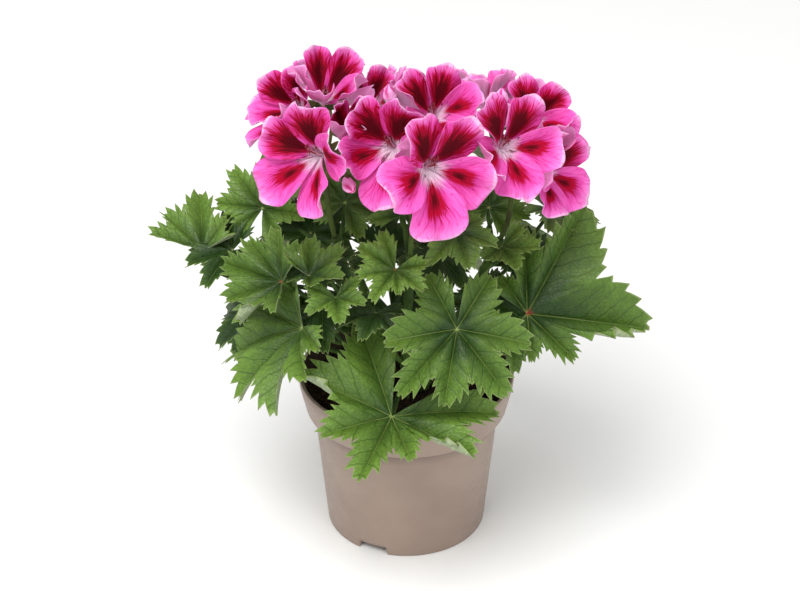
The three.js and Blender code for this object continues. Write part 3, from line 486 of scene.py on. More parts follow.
def blade_material(settings):
    """Living leaf blade: waxy cuticle over soft tissue, so a satin green with a broken sheen that lets
    some light through. Veins lie in fine furrows, the rim is pale, and the underside is matt grey-green."""
    made, put = new_material("living_leaf_blade")
    place = put("TexCoord", out=OBJECT)
    under, tone, stained = (put("Attribute " + name, out=VALUE) for name in ("under", "tone", "stained"))
    along, lateral, reach = put("SeparateXYZ", put("Attribute lie", out=VECTOR)).node.outputs
    # Soft blotches about 12 mm across, and a fine mottle about 2 mm across.
    blotch = put("TexNoise", place, 85.0, 3.0, 0.55)
    cloud = put("Math ADD", blotch, -0.5)
    mottle = put("TexNoise", place, 520.0, 2.0)
    # Side veins every 7.5 mm, swept forward at about 45 degrees and bent by the blotch noise.
    bent = put("Math MULTIPLY_ADD", cloud, 7.0, along)
    swept = put("Math MULTIPLY_ADD", lateral, -0.95, bent)
    apart = put("Math PINGPONG", put("Math DIVIDE", swept, VEIN_STEP), 1.0)
    side = put("MapRange SMOOTHSTEP", put("Math PINGPONG", apart, 0.5), 0.02, 0.085, 1.0, 0.0)
    side = put("Math MULTIPLY", side, put("MapRange", lateral, 9.0, 22.0, 1.0, 0.35))
    main = put("MapRange SMOOTHSTEP", lateral, 0.12, 0.55, 1.0, 0.0)
    # The net of small veins: cells about 2.2 mm across.
    net = put("TexVoronoi DISTANCE_TO_EDGE", place, 450.0)
    net = put("MapRange SMOOTHSTEP", net, 0.02, 0.16, 1.0, 0.0)
    relief = put("Math MAXIMUM", put("Math MAXIMUM", main, side), put("Math MULTIPLY", net, 0.45))
    # The face mixes two greens by its reach from the petiole, the blade's tone and the blotches. The reach
    # and the tone carry painted shade: darker toward the petiole, where the blade cups, and on the blades
    # inside the plant. Painted shade darkens the furrows, and the main veins are paler.
    shift = put("MapRange", reach, 0.08, 0.95, -0.65, 0.45)
    shift = put("Math MULTIPLY_ADD", cloud, 0.9, put("Math MULTIPLY_ADD", tone, 0.35, shift))
    mixed = put("MapRange", shift, -0.6, 0.6, 0.0, 1.0)
    face = put("Mix RGBA", mixed, settings.leaf_dark, settings.leaf_light)
    speck = put("MapRange", mottle, 0.35, 0.7, 0.86, 1.1)
    face = put("Mix RGBA", 1.0, face, speck, blend_type="MULTIPLY")
    # Painted shade: the side veins and the net of small veins are darkened as if shaded in their furrows.
    furrow = put("Math MAXIMUM", put("Math MULTIPLY", side, 0.5), put("Math MULTIPLY", net, 0.2))
    face = put("Mix RGBA", furrow, face, settings.leaf_dark)
    near = put("MapRange", along, 2.0, 36.0, 0.9, 0.15)
    face = put("Mix RGBA", put("Math MULTIPLY", main, near), face, settings.leaf_vein)
    # The underside is pale, with its veins standing out paler still.
    back = put("Mix RGBA", relief, settings.leaf_under, settings.leaf_under_vein)
    both = put("Mix RGBA", under, face, back)
    edge = put("MapRange SMOOTHSTEP", reach, 0.972, 0.992, 0.0, 0.75)
    both = put("Mix RGBA", edge, both, settings.leaf_rim)
    # Red stain where the petiole meets the blade, about 2 mm across.
    stain = put("Math MULTIPLY", put("MapRange", reach, 0.02, 0.07, 1.0, 0.0), stained)
    both = put("Mix RGBA", stain, both, settings.stain)
    rough = put("Math MULTIPLY_ADD", under, 0.25, put("MapRange", mottle, 0.3, 0.7, 0.33, 0.48))
    # Veins are sunk in the face and stand out of the underside.
    height = put("Math MULTIPLY", relief, put("MapRange", under, 0.0, 1.0, -1.0, 1.0))
    height = put("Math MULTIPLY_ADD", mottle, 0.25, height)
    bump = put("Bump", {"Strength": 0.55, "Distance": 0.0005, "Height": height})
    skin = put("BsdfPrincipled", {"Base Color": both, "Roughness": rough, "IOR": 1.42,
                                  "Specular IOR Level": 0.5, "Normal": bump})
    through = put("BsdfTranslucent", put("Mix RGBA", 0.5, both, settings.leaf_glow), bump)
    put("OutputMaterial", put("MixShader", 0.2, skin, through))
    return made


def petal_material(settings):
    """Living petal: thin velvety tissue, so a saturated matt colour that glows where light comes through.
    A maroon blotch, feathered along the veins, fades through crimson to pink. Throat and back are pale."""
    made, put = new_material("living_petal")
    place = put("TexCoord", out=OBJECT)
    under, tone, upper = (put("Attribute " + name, out=VALUE) for name in ("under", "tone", "upper"))
    across, reach, _ = put("SeparateXYZ", put("Attribute petal", out=VECTOR)).node.outputs
    bent = put("Math MULTIPLY_ADD", put("TexNoise", place, 110.0, 1.0), 0.22, across)
    offset = put("Math MULTIPLY", tone, 9.0)
    # Noise about zero, stretched along the petal, so that it runs out from the throat: broad streaks, thin
    # lines and a fine fringe. Each has its count across and along the petal, and its detail.
    runs = []
    for over, outward, *detail in ((7.0, 2.2, 3.0, 0.62), (15.0, 2.6, 1.0), (24.0, 3.2, 2.0)):
        at = put("CombineXYZ", put("Math MULTIPLY", bent, over), put("Math MULTIPLY", reach, outward),
                 offset)
        runs.append(put("Math ADD", put("TexNoise", at, 1.0, *detail), -0.5))
    streak, line, fringe = runs
    vein = put("MapRange SMOOTHSTEP", put("Math ABSOLUTE", line), 0.008, 0.05, 1.0, 0.0)
    # The blotch is an ellipse in share of width and of length, larger on the two upper petals.
    x = put("Math DIVIDE", across, put("MapRange", upper, 0.0, 1.0, 0.5, 0.88))
    y = put("Math DIVIDE", put("Math ADD", reach, -0.5), put("MapRange", upper, 0.0, 1.0, 0.25, 0.38))
    ragged = put("Math SQRT", put("Math MULTIPLY_ADD", x, x, put("Math MULTIPLY", y, y)))
    for run, share in ((streak, 0.95), (fringe, 0.75), (vein, -0.16)):
        ragged = put("Math MULTIPLY_ADD", run, share, ragged)
    crimson = put("MapRange SMOOTHSTEP", ragged, 0.72, 1.12, 1.0, 0.0)
    heart = put("Math SUBTRACT", ragged, put("MapRange", upper, 0.0, 1.0, -0.12, 0.12))
    maroon = put("MapRange SMOOTHSTEP", heart, 0.22, 0.74, 1.0, 0.0)
    # The pink is deeper in patches and round the blotch, lilac at the rim, and palest at the very edge.
    patch = put("MapRange", streak, -0.2, 0.22, 0.0, 0.45)
    halo = put("MapRange SMOOTHSTEP", ragged, 0.95, 1.75, 0.9, 0.0)
    rim = put("MapRange SMOOTHSTEP", reach, 0.8, 1.0, 0.0, 0.75)
    hem = put("MapRange SMOOTHSTEP", reach, 0.95, 0.985, 0.0, 0.55)
    # The throat is pale, with maroon lines.
    pale_end = put("MapRange", upper, 0.0, 1.0, 0.42, 0.3)
    throat = put("Math MULTIPLY_ADD", streak, 0.25, reach)
    throat = put("MapRange SMOOTHSTEP", throat, 0.16, pale_end, 1.0, 0.0)
    drawn = put("Math MULTIPLY", put("MapRange", reach, 0.34, 0.46, 0.85, 0.0), vein)
    face = settings.petal_pink
    for share, paint in ((put("Math MAXIMUM", patch, halo), settings.petal_deep), (rim, settings.petal_rim),
                         (hem, settings.throat), (put("Math MULTIPLY", vein, 0.42), settings.petal_line),
                         (throat, settings.throat), (crimson, settings.crimson), (maroon, settings.maroon),
                         (drawn, settings.maroon)):
        face = put("Mix RGBA", share, face, paint)
    # The back is pale pink, and the blotch shows through it faintly.
    both = put("Mix RGBA", under, face, put("Mix RGBA", 0.2, settings.petal_back, face))
    # Cells of the petal's skin, about 0.6 mm and far coarser than real, give the velvet its grain.
    grain = put("Math MULTIPLY", put("TexNoise", place, 1600.0, 1.0), 0.3)
    bump = put("Bump", {"Strength": 0.4, "Distance": 0.0003,
                        "Height": put("Math MULTIPLY_ADD", vein, -0.6, grain)})
    skin = put("BsdfPrincipled", {"Base Color": both, "Roughness": 0.6, "IOR": 1.4,
                                  "Specular IOR Level": 0.1, "Normal": bump})
    put("OutputMaterial", put("MixShader", 0.3, skin, put("BsdfTranslucent", both, bump)))
    return made


def stalk_material(settings):
    """Living green stalk: ribbed, downy skin, so a matt yellow-green with darker runs and a red flush."""
    made, put = new_material("living_stalk")
    place = put("TexCoord", out=OBJECT)
    # Patches about 15 mm long, and down drawn as a grain of about 0.7 mm.
    patch = put("TexNoise", place, 70.0, 3.0)
    grain = put("TexNoise", place, 1400.0, 2.0)
    skin = put("Mix RGBA", put("MapRange", patch, 0.35, 0.65, 0.0, 1.0), settings.stalk, settings.stalk_dark)
    flush = put("MapRange", patch, 0.3, 0.7, 0.5, 1.0)
    flush = put("Math MULTIPLY", flush, put("Attribute flush", out=VALUE))
    skin = put("Mix RGBA", flush, skin, settings.stalk_flush)
    skin = put("Mix RGBA", 1.0, skin, put("MapRange", grain, 0.3, 0.7, 0.8, 1.15), blend_type="MULTIPLY")
    bump = put("Bump", {"Strength": 0.5, "Distance": 0.0003, "Height": grain})
    put("OutputMaterial", put("BsdfPrincipled", {
        "Base Color": skin, "Roughness": put("MapRange", grain, 0.3, 0.7, 0.5, 0.72), "IOR": 1.42,
        "Specular IOR Level": 0.2, "Normal": bump}))
    return made


def stamen_material(settings):
    """Filaments and anthers: smooth threads, pale pink at the foot and crimson at the tip."""
    made, put = new_material("living_stamen")
    grain = put("TexNoise", put("TexCoord", out=OBJECT), 1500.0, 1.0)
    share = put("Math MULTIPLY_ADD", grain, 0.3, put("Attribute reach", out=VALUE))
    skin = put("Mix RGBA", put("MapRange", share, 0.3, 1.0, 0.0, 1.0), settings.filament, settings.anther)
    put("OutputMaterial", put("BsdfPrincipled", {"Base Color": skin, "Roughness": 0.5, "IOR": 1.4}))
    return made


def bud_material(settings):
    """Furled petals: pale pink rolls, crimson in the folds and at the tip."""
    made, put = new_material("living_bud")
    patch = put("TexNoise", put("TexCoord", out=OBJECT), 420.0, 3.0)
    deep = put("Math MULTIPLY_ADD", patch, 0.5, put("Attribute fold", out=VALUE))
    deep = put("Math MULTIPLY", deep, put("Attribute reach", out=VALUE))
    deep = put("MapRange SMOOTHSTEP", deep, 0.35, 1.0, 0.0, 0.9)
    skin = put("Mix RGBA", deep, settings.petal_back, settings.petal_line)
    bump = put("Bump", {"Strength": 0.3, "Distance": 0.0003, "Height": patch})
    put("OutputMaterial", put("BsdfPrincipled", {"Base Color": skin, "Roughness": 0.6, "IOR": 1.4,
                                                 "Specular IOR Level": 0.25, "Normal": bump}))
    return made


def pot_material(settings):
    """Injection-moulded polypropylene, dyed taupe: an even satin skin with a faint flow mottle, a fine
    grain from the mould, and scuffs that dull it in places."""
    made, put = new_material("moulded_polypropylene")
    place = put("TexCoord", out=OBJECT)
    height = put("SeparateXYZ", place, out=2)
    flow = put("TexNoise", place, 28.0, 3.0)
    # Mould grain of about 0.8 mm, coarser than the real one so that it shows.
    grain = put("TexNoise", place, 1250.0, 2.0)
    scuff_at = put("Mapping", {"Vector": place, "Scale": (180.0, 180.0, 900.0)})
    scuff = put("TexNoise", scuff_at, 1.0, 2.0)
    # Dust lies at the foot. Painted shade darkens the band under the collar, where the collar shades the
    # body, and the inner wall inside the rim.
    dust = put("MapRange", height, 0.0, 0.02, 0.35, 0.0)
    collar_shadow = put("Math MULTIPLY", put("MapRange", height, 0.066, 0.0745, 0.0, 0.55),
                       put("Attribute grime", out=VALUE))
    # Painted shade: the inner wall is darkened for the shade inside the rim.
    inside = put("Math MULTIPLY", put("Attribute inside", out=VALUE), 0.85)
    skin = settings.pot
    for share, paint in ((put("MapRange", flow, 0.3, 0.7, 0.0, 1.0), settings.pot_dark),
                         (dust, settings.pot_dark), (collar_shadow, settings.pot_painted_shade),
                         (inside, settings.pot_painted_shade)):
        skin = put("Mix RGBA", share, skin, paint)
    bump = put("Bump", {"Strength": 0.18, "Distance": 0.0002, "Height": grain})
    put("OutputMaterial", put("BsdfPrincipled", {
        "Base Color": skin, "Roughness": put("MapRange", scuff, 0.35, 0.7, 0.36, 0.52), "IOR": 1.49,
        "Specular IOR Level": 0.45, "Normal": bump}))
    return made


def compost_material(settings):
    """Damp peat compost: crumbs and fibres, nearly black where wet and brown where they have dried."""
    made, put = new_material("damp_peat_compost")
    place = put("TexCoord", out=OBJECT)
    clump = put("TexNoise", place, 260.0, 4.0, 0.65)
    crumb = put("TexVoronoi", place, 700.0)
    share = put("Math ADD", put("MapRange", clump, 0.4, 0.7, 0.0, 0.7), put("Attribute dry", out=VALUE))
    skin = put("Mix RGBA", share, settings.peat_wet, settings.peat_dry)
    height = put("Math MULTIPLY_ADD", crumb, 0.7, clump)
    bump = put("Bump", {"Strength": 0.9, "Distance": 0.001, "Height": height})
    put("OutputMaterial", put("BsdfPrincipled", {"Base Color": skin, "Roughness": 0.9, "IOR": 1.45,
                                                 "Specular IOR Level": 0.25, "Normal": bump}))
    return made


def leaf_lobes(name, seed, size):
    """The lobes of a blade as (angle, length): its own list, or the usual seven, or five on a small blade,
    with small differences."""
    if name in LOBES:
        return LOBES[name]
    step, lengths = (SMALL_LOBE_STEP, SMALL_LOBE_LENGTHS) if size < SMALL_LEAF else (LOBE_STEP, LOBE_LENGTHS)
    middle = (len(lengths) - 1) / 2
    return [((i - middle) * step + 4 * vary(seed, 20 + i), reach * (1 + 0.07 * vary(seed, 10 + i)))
            for i, reach in enumerate(lengths)]


def lobe_side(axis, bound, sinus, tip, teeth, seed, depth, full):
    """One side of a lobe's margin from sinus to tip. At a share f of the way, its radius is
    sinus + (tip - sinus) f^0.85 and its angle from the axis is (1 - f^full) of that to the bound. Each tooth
    rises over 0.7 of its step and falls back. Returns angle, radius, share of angle, and tooth height."""
    f = (np.arange(teeth)[:, None] + TOOTH_STEPS).ravel() / teeth * TEETH_END
    size = np.repeat([1 + 0.3 * vary(seed, 50 + k) - 0.3 * (k % 2) for k in range(teeth)], len(TOOTH_STEPS))
    rise = np.append(np.tile(TOOTH_RISE, teeth) * size, TIP_RISE) * depth
    f = np.append(f, TIP_STEPS)
    share = 1 - f ** full
    return (axis + (bound - axis) * share, sinus + (tip - sinus) * f ** 0.85, share,
            rise * np.clip(f / 0.3, 0, 1))


def leaf_margin(seed, name, size, teeth, depth):
    """The margin of a blade, walked lobe by lobe from one side of the petiole to the other. Returns the
    lobes' angles, and on each point of the margin the angle and radius, the share of the way out to the
    sinus, the tooth's height, the lobe's angle, and 1 or -1 for the lobe's side."""
    lobes = leaf_lobes(name, seed, size)
    angles, lengths = zip(*lobes)
    bounds = [max(-LAST_ANGLE, angles[0] - LAST_HALF_LOBE),
              *[(a + b) / 2 for a, b in zip(angles, angles[1:])],
              min(LAST_ANGLE, angles[-1] + LAST_HALF_LOBE)]
    sinuses = [BASAL_SINUS]
    for i in range(1, len(lobes)):
        crowding = 0.004 * (LOBE_STEP - angles[i] + angles[i - 1])
        sinuses.append(min(lengths[i - 1:i + 1]) * (SINUS_DEPTH + crowding + 0.1 * vary(seed, 30 + i)))
    sinuses.append(BASAL_SINUS)
    sides = []
    for i, (axis, reach) in enumerate(lobes):
        for way, end in ((1, i), (-1, i + 1)):
            side = np.stack(lobe_side(axis, bounds[end], sinuses[end], reach, teeth,
                                      100 * seed + 10 * i + way, depth * min(1, reach / 0.8),
                                      FULLNESS.get(name, USUAL_FULLNESS)))
            side = np.concatenate([side, np.outer([axis, way], np.ones(side.shape[1]))])
            # The tip stands in the first side only, and a sinus in the side that comes after it.
            last = i == len(lobes) - 1
            sides.append(side if way > 0 else side[:, -2::-1] if last else side[:, -2:0:-1])
    return angles, np.concatenate(sides, 1)


def leaf_sheet(seed, name, at, axes, size, cup, droop, settings):
    """A blade: P(r, c) = at + size (along x + across y + normal h), with (x, y) = r B(c) + r^7 T(c) for the
    margin B and its teeth T, and h a funnel that arches down, pleated from vein to sinus, quilted between
    the side veins and waved at the edge."""
    large = size > LARGE_LEAF
    angles, (theta, radius, share, rise, axis, way) = leaf_margin(
        seed, name, size, *((settings.teeth, 0.085) if large else (settings.teeth - 1, 0.1)))
    margin = np.stack([radius * np.cos(np.radians(theta)), radius * np.sin(np.radians(theta))], -1)
    run = unit(np.gradient(margin, axis=0))
    outward = np.stack([run[:, 1], -run[:, 0]], -1)
    tooth = rise[:, None] * (0.8 * outward + 0.5 * way[:, None] * run)
    rows = (LARGE_ROWS if large else SMALL_ROWS)[:, None]
    flat = rows[..., None] * margin + rows[..., None] ** 7 * tooth
    q = np.linalg.norm(flat, axis=-1)
    angle = np.arctan2(flat[..., 1], flat[..., 0])
    # A rolled margin: the last x mm square to the margin run round an arc, R sin(x/R) out and
    # R (1 - cos(x/R)) up.
    rolled = np.zeros(len(theta))
    for lobe, side_of in ROLLED.get(name, ()):
        rolled[(axis == angles[lobe]) & (way == side_of)] = 1
    inside = size * (1 - rows) * np.abs(np.sum(margin * outward, -1))
    x = np.clip(ROLL_WIDTH - inside, 0, None) * rolled * np.sin(np.pi * np.clip(share, 0, 1)) ** 0.5
    flat = flat + (ROLL_RADIUS * np.sin(x / ROLL_RADIUS) - x)[..., None] / size * outward
    roll = ROLL_RADIUS * (1 - np.cos(x / ROLL_RADIUS)) / size
    # a and b: how far out along the lobe's vein and how far to its side a point lies, in mm.
    off = angle - np.radians(axis)
    a, b = size * q * np.cos(off), size * q * np.abs(np.sin(off))
    scale = (size / USUAL_SIZE) ** 0.7
    slow = vary(seed, 1) * np.sin(2 * angle) + vary(seed, 2) * np.cos(3 * angle)
    funnel = cup * q - droop * q ** 2 + PLEAT * np.sin(np.pi / 2 * share) * q + 0.05 * slow * q ** 2
    swell = 0.5 - 0.5 * np.cos(2 * np.pi * (a - 0.95 * b) / (VEIN_STEP * scale))
    quilt = settings.quilt / MM * swell * np.clip(b / 4, 0, 1) * (1 - rows ** 12)
    wave = 0.035 * rows ** 4 * np.sin(9 * angle + 3 * vary(seed, 3))
    furrow = 0.5 * np.exp(-(b / 1.1) ** 2) * np.clip(a / 4, 0, 1)
    height = funnel + roll + wave + (quilt - furrow) / size
    normal, along, across = axes
    points = at + size * (flat[..., :1] * along + flat[..., 1:] * across + height[..., None] * normal)
    lie = np.stack([a / scale, b / scale, np.broadcast_to(rows, a.shape)], -1).reshape(-1, 3)
    lie = np.concatenate([lie, [[0, 0, 0]]])
    count, columns = q.size, q.shape[1]
    rim = np.append(count, border(len(rows), columns)[:len(rows) * 2 + columns - 2])
    thick = settings.blade / MM * (1 - 0.45 * lie[:, 2] ** 8)
    sheet = thicken(np.concatenate([points.reshape(-1, 3), at[None]]), grid(len(rows), columns),
                    fan(count, np.arange(columns)), rim, thick)
    return sheet, np.concatenate([lie, lie])


def kept_clear(index, at, outward, reach, rise):
    """The angle in radians by which each point of a petal stands over the bloom's plane. Where rise would
    carry it past the plane halfway to a neighbouring bloom, it swings up to that plane, less a yielding
    share, and the result is smoothed five times over its neighbours on the grid."""
    size, normal = BLOOMS[index][7], direction(*BLOOMS[index][4:6])
    lifted = np.radians(rise)
    heart = at + 0.25 * size * normal
    for other, (_, ox, oy, oz, oa, oe, _, other_size, _) in enumerate(BLOOMS):
        if other == index:
            continue
        between = np.array([ox, oy, oz]) + 0.25 * other_size * direction(oa, oe) - heart
        towards = unit(between)
        room = (heart + between * size / (size + other_size) - at) @ towards - PETAL_GAP
        a, b = outward @ towards, normal @ towards
        over = reach * (a * np.cos(lifted) + b * np.sin(lifted)) > room
        safe = np.clip(room / np.maximum(reach * np.hypot(a, b), 1e-6), -1, 1)
        lifted = np.where(over, np.maximum(lifted, np.arctan2(b, a) + np.arccos(safe)), lifted)
    yielding = LARGE_YIELDING if size > LARGE_BLOOM else SMALL_YIELDING
    lifted = np.radians(rise) + yielding * (np.minimum(lifted, np.radians(STEEPEST)) - np.radians(rise))
    for _ in range(5):
        padded = np.pad(lifted, 1, mode="edge")
        lifted = (padded[:-2, 1:-1] + padded[2:, 1:-1] + padded[1:-1, :-2] + padded[1:-1, 2:]) / 4
    return lifted


def petal_surface(index, k, rho, u, ruffle):
    """A petal: at a share rho of its length and u across it, the point lies at reach L e(u) rho from the
    throat, e = (1 - |u|^3)^0.55, on a cone that opens from 54 degrees at the throat to the bloom's own angle
    at the tip, ruffled toward the edge, and swung up to stay clear of the neighbouring blooms."""
    _, *place, azimuth, elevation, turn, size, opening = BLOOMS[index]
    at, (normal, along, across) = np.array(place, float), facing(azimuth, elevation, turn)
    seed = index + PETAL_SEED
    angle, share_of_size, sector, _ = PETALS[k]
    phase = 3 * vary(seed, k)
    edge = (1 - np.abs(u) ** 3) ** 0.55 * (1 + 0.03 * np.sin(7 * u + phase))
    share = edge * rho
    reach = size * share_of_size * (1 + 0.06 * vary(seed, 20 + k)) * share
    way = np.radians(angle + u * sector * (1 + 0.36 * rho ** 3))[..., None]
    outward = -along * np.cos(way) - across * np.sin(way)
    rise = THROAT_ANGLE * (1 - share) + opening * share - 9 * rho
    rise = rise + 6 * rho ** 2 * (1 - 0.6 * u ** 2) * np.sin(5 * u + phase)
    frill = ruffle * rho ** 3 * (np.sin(9 * u + 2 * phase) + 0.3 * rho ** 3 * np.sin(21 * u + 5 * phase))
    # One edge of each petal stands 18 degrees over the other, so that it lies over its neighbour.
    raised = kept_clear(index, at, outward, reach, rise) + np.radians(9 * rho * (1 + u) + frill)
    swung = outward * np.cos(raised)[..., None] + normal * np.sin(raised)[..., None]
    return at + reach[..., None] * swung, share


class PotSettings(bpy.types.PropertyGroup):
    """Sizes and colours of the pot and the compost."""

    rim_radius: length("Rim radius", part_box("pot")[1].x, "Outer radius at the rim")
    height: length("Height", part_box("pot")[1].z, "Height of the rim over the base")
    wall: length("Wall", 0.0014, "Thickness of the wall")
    edge: length("Edge radius", 0.0009, "How far each moulded edge is rounded")
    sides: IntProperty(name="Sides", description="Steps round the pot", default=168, min=24)
    crumbs: IntProperty(name="Crumbs", description="Loose crumbs on the compost", default=620, min=0)
    fibres: IntProperty(name="Fibres", description="Loose fibres on the compost", default=90, min=0)
    pot: colour("Pot", "#9b887b", "Taupe plastic")
    pot_dark: colour("Pot, darker", "#8e7a6e", "Taupe plastic where it flowed thicker")
    # Painted shade: this dark brown darkens the band under the collar and the inner wall of the pot.
    pot_painted_shade: colour("Grime", "#3c2f27", "Compost dirt on the plastic")
    peat_wet: colour("Wet peat", "#1c140e", "Compost where it is damp")
    peat_dry: colour("Dry peat", "#4a3524", "Compost where it has dried")


class FoliageSettings(bpy.types.PropertyGroup):
    """Sizes and colours of leaves and stalks."""

    blade: length("Blade", 0.00045, "Thickness of a leaf blade")
    quilt: length("Quilting", 0.0006, "How far a blade swells between its side veins")
    teeth: IntProperty(name="Teeth", description="Teeth on each side of a large lobe", default=4, min=3)
    stem_radius: length("Stem radius", 0.003, "Radius of a stem at its foot")
    leaf_dark: colour("Leaf, dark", "#264413", "Darker green of the face")
    leaf_light: colour("Leaf, light", "#74983a", "Lighter green of the face")
    leaf_vein: colour("Main veins", "#9fb366", "Main veins near the petiole")
    leaf_rim: colour("Rim", "#93a862", "Pale rim of the teeth")
    leaf_under: colour("Underside", "#9ba983", "Underside of a blade")
    leaf_under_vein: colour("Underside veins", "#bac7a2", "Raised veins of the underside")
    leaf_glow: colour("Light through", "#7fa028", "Light that comes through a blade")
    stain: colour("Stain", "#a5342c", "Red stain at the top of a petiole")
    stalk: colour("Stalk", "#4c692a", "Stalks and sepals")
    stalk_dark: colour("Stalk, dark", "#2f4420", "Darker runs on a stalk")
    stalk_flush: colour("Stalk flush", "#8a4a3c", "Red flush of flower stalks")


class BloomSettings(bpy.types.PropertyGroup):
    """Sizes and colours of petals, stamens and buds."""

    petal: length("Petal", 0.00035, "Thickness of a petal")
    ruffle: FloatProperty(name="Ruffle", description="Degrees by which a petal's edge waves", default=3.4)
    petal_pink: colour("Pink", "#ff7ad8", "Petal between blotch and rim")
    petal_deep: colour("Deep pink", "#e444aa", "Petal in deeper patches")
    petal_rim: colour("Rim", "#ffa8ee", "Petal at its rim")
    petal_line: colour("Veins", "#d6288a", "Fine veins across a petal")
    petal_back: colour("Back", "#ffb8ec", "Back of a petal")
    crimson: colour("Crimson", "#bb0a36", "Feathered ring of the blotch")
    maroon: colour("Maroon", "#5a0714", "Core of the blotch and lines in the throat")
    throat: colour("Throat", "#fbe6f4", "Pale throat")
    filament: colour("Filament", "#f0b8cf", "Foot of the stamens")
    anther: colour("Anther", "#7c1028", "Tips of stamens and style")


class StageSettings(bpy.types.PropertyGroup):
    """Floor, light and camera."""

    floor: colour("Floor", "#fbfbfa", "Pale floor")
    light: FloatProperty(name="Surrounding light", description="Strength of the surroundings", default=0.62)
    key: FloatProperty(name="Key light", description="Power of the main soft box in watts", default=30.0)
    fill: FloatProperty(name="Fill light", description="Power of the front soft box in watts", default=5.0)
    lens: FloatProperty(name="Lens", description="Focal length in millimetres", default=107.3)
    distance: length("Camera distance", 1.3, "From the camera to the middle of the view")
    elevation: FloatProperty(name="Elevation", description="Camera's degrees above level", default=31.3)


class PELARGONIUM_OT_pot(bpy.types.Operator):
    """Turns the pot, a moulded shell with a wide collar, a raised floor and three notches in its foot."""

    bl_idname = "pelargonium.pot"
    bl_label = "Pot"

    def execute(self, context):
        settings = context.scene.pelargonium_pot
        rim, top, wall = settings.rim_radius / MM, settings.height / MM, settings.wall / MM
        # Outer radii at the foot, under the collar and at the collar's lower edge; heights of the raised
        # floor and of the ledge under the collar.
        foot, waist, collar = 44.5, 51.6, 56
        raised, ledge = 5, 74
        outer = rounded([
            (14, 0), (18, raised), (foot - 3.5, raised), (foot - 2.2, 0), (foot, 0), (waist, ledge),
            (collar, ledge + 1), (rim, top - 4), (rim, top), (rim - 2, top), (rim - 2.6, top - 6),
            (collar - wall, ledge + 3), (waist - wall, ledge), (foot - wall + 0.6, raised + 1.4),
            (17, raised + 1.4), (13, wall),
        ], settings.edge / MM)
        # P(p, a) = (r(p) cos a, r(p) sin a, z(p)), lifted to the raised floor where it crosses a notch.
        fine = [outer[:1]]
        for start, end in zip(outer, outer[1:]):
            steps = max(1, int(np.linalg.norm(end - start) // PROFILE_STEP))
            fine.append(start + (end - start) * np.linspace(0, 1, steps + 1)[1:, None])
        profile = np.concatenate(fine)
        r, z = profile[:, :1], profile[:, 1:]
        notches = np.arange(3) * 120 - 115
        edges = np.concatenate([notches + half for half in (-NOTCH_FOOT, -NOTCH_TOP, NOTCH_TOP, NOTCH_FOOT)])
        even = np.linspace(-180, 180, settings.sides, endpoint=False)
        angle = np.unique(np.concatenate([even, edges, edges + 0.25, edges - 0.25]) % 360)
        near = np.abs((angle[None] - notches[:, None] + 180) % 360 - 180).min(0)
        lift = np.clip((NOTCH_FOOT + 0.1 - near) / (NOTCH_FOOT - NOTCH_TOP), 0, 1) * raised
        highest = np.argmax(z)
        row = np.arange(len(profile))
        height = np.where((row[:, None] > highest) | (r <= foot - 3.6), z, np.maximum(z, lift))
        radians = np.radians(angle)
        shell = np.stack([r * np.cos(radians), r * np.sin(radians), height], -1)
        turned = row > highest + 3
        # Masks for the painted shade: the inner wall, and the outer wall below the collar's ledge.
        inside, grime = (np.append(np.repeat(flag.astype(float), len(angle)), [0, 1])
                         for flag in (turned, ~turned & (z[:, 0] < ledge + 0.6)))
        gathered = Gathered()
        gathered.add(*capped(shell, (0, 0, outer[0][1]), (0, 0, outer[-1][1])), inside=inside, grime=grime)
        gathered.piece("pot_shell", pot_material(settings), "pot_plastic", "pot")
        return {"FINISHED"}


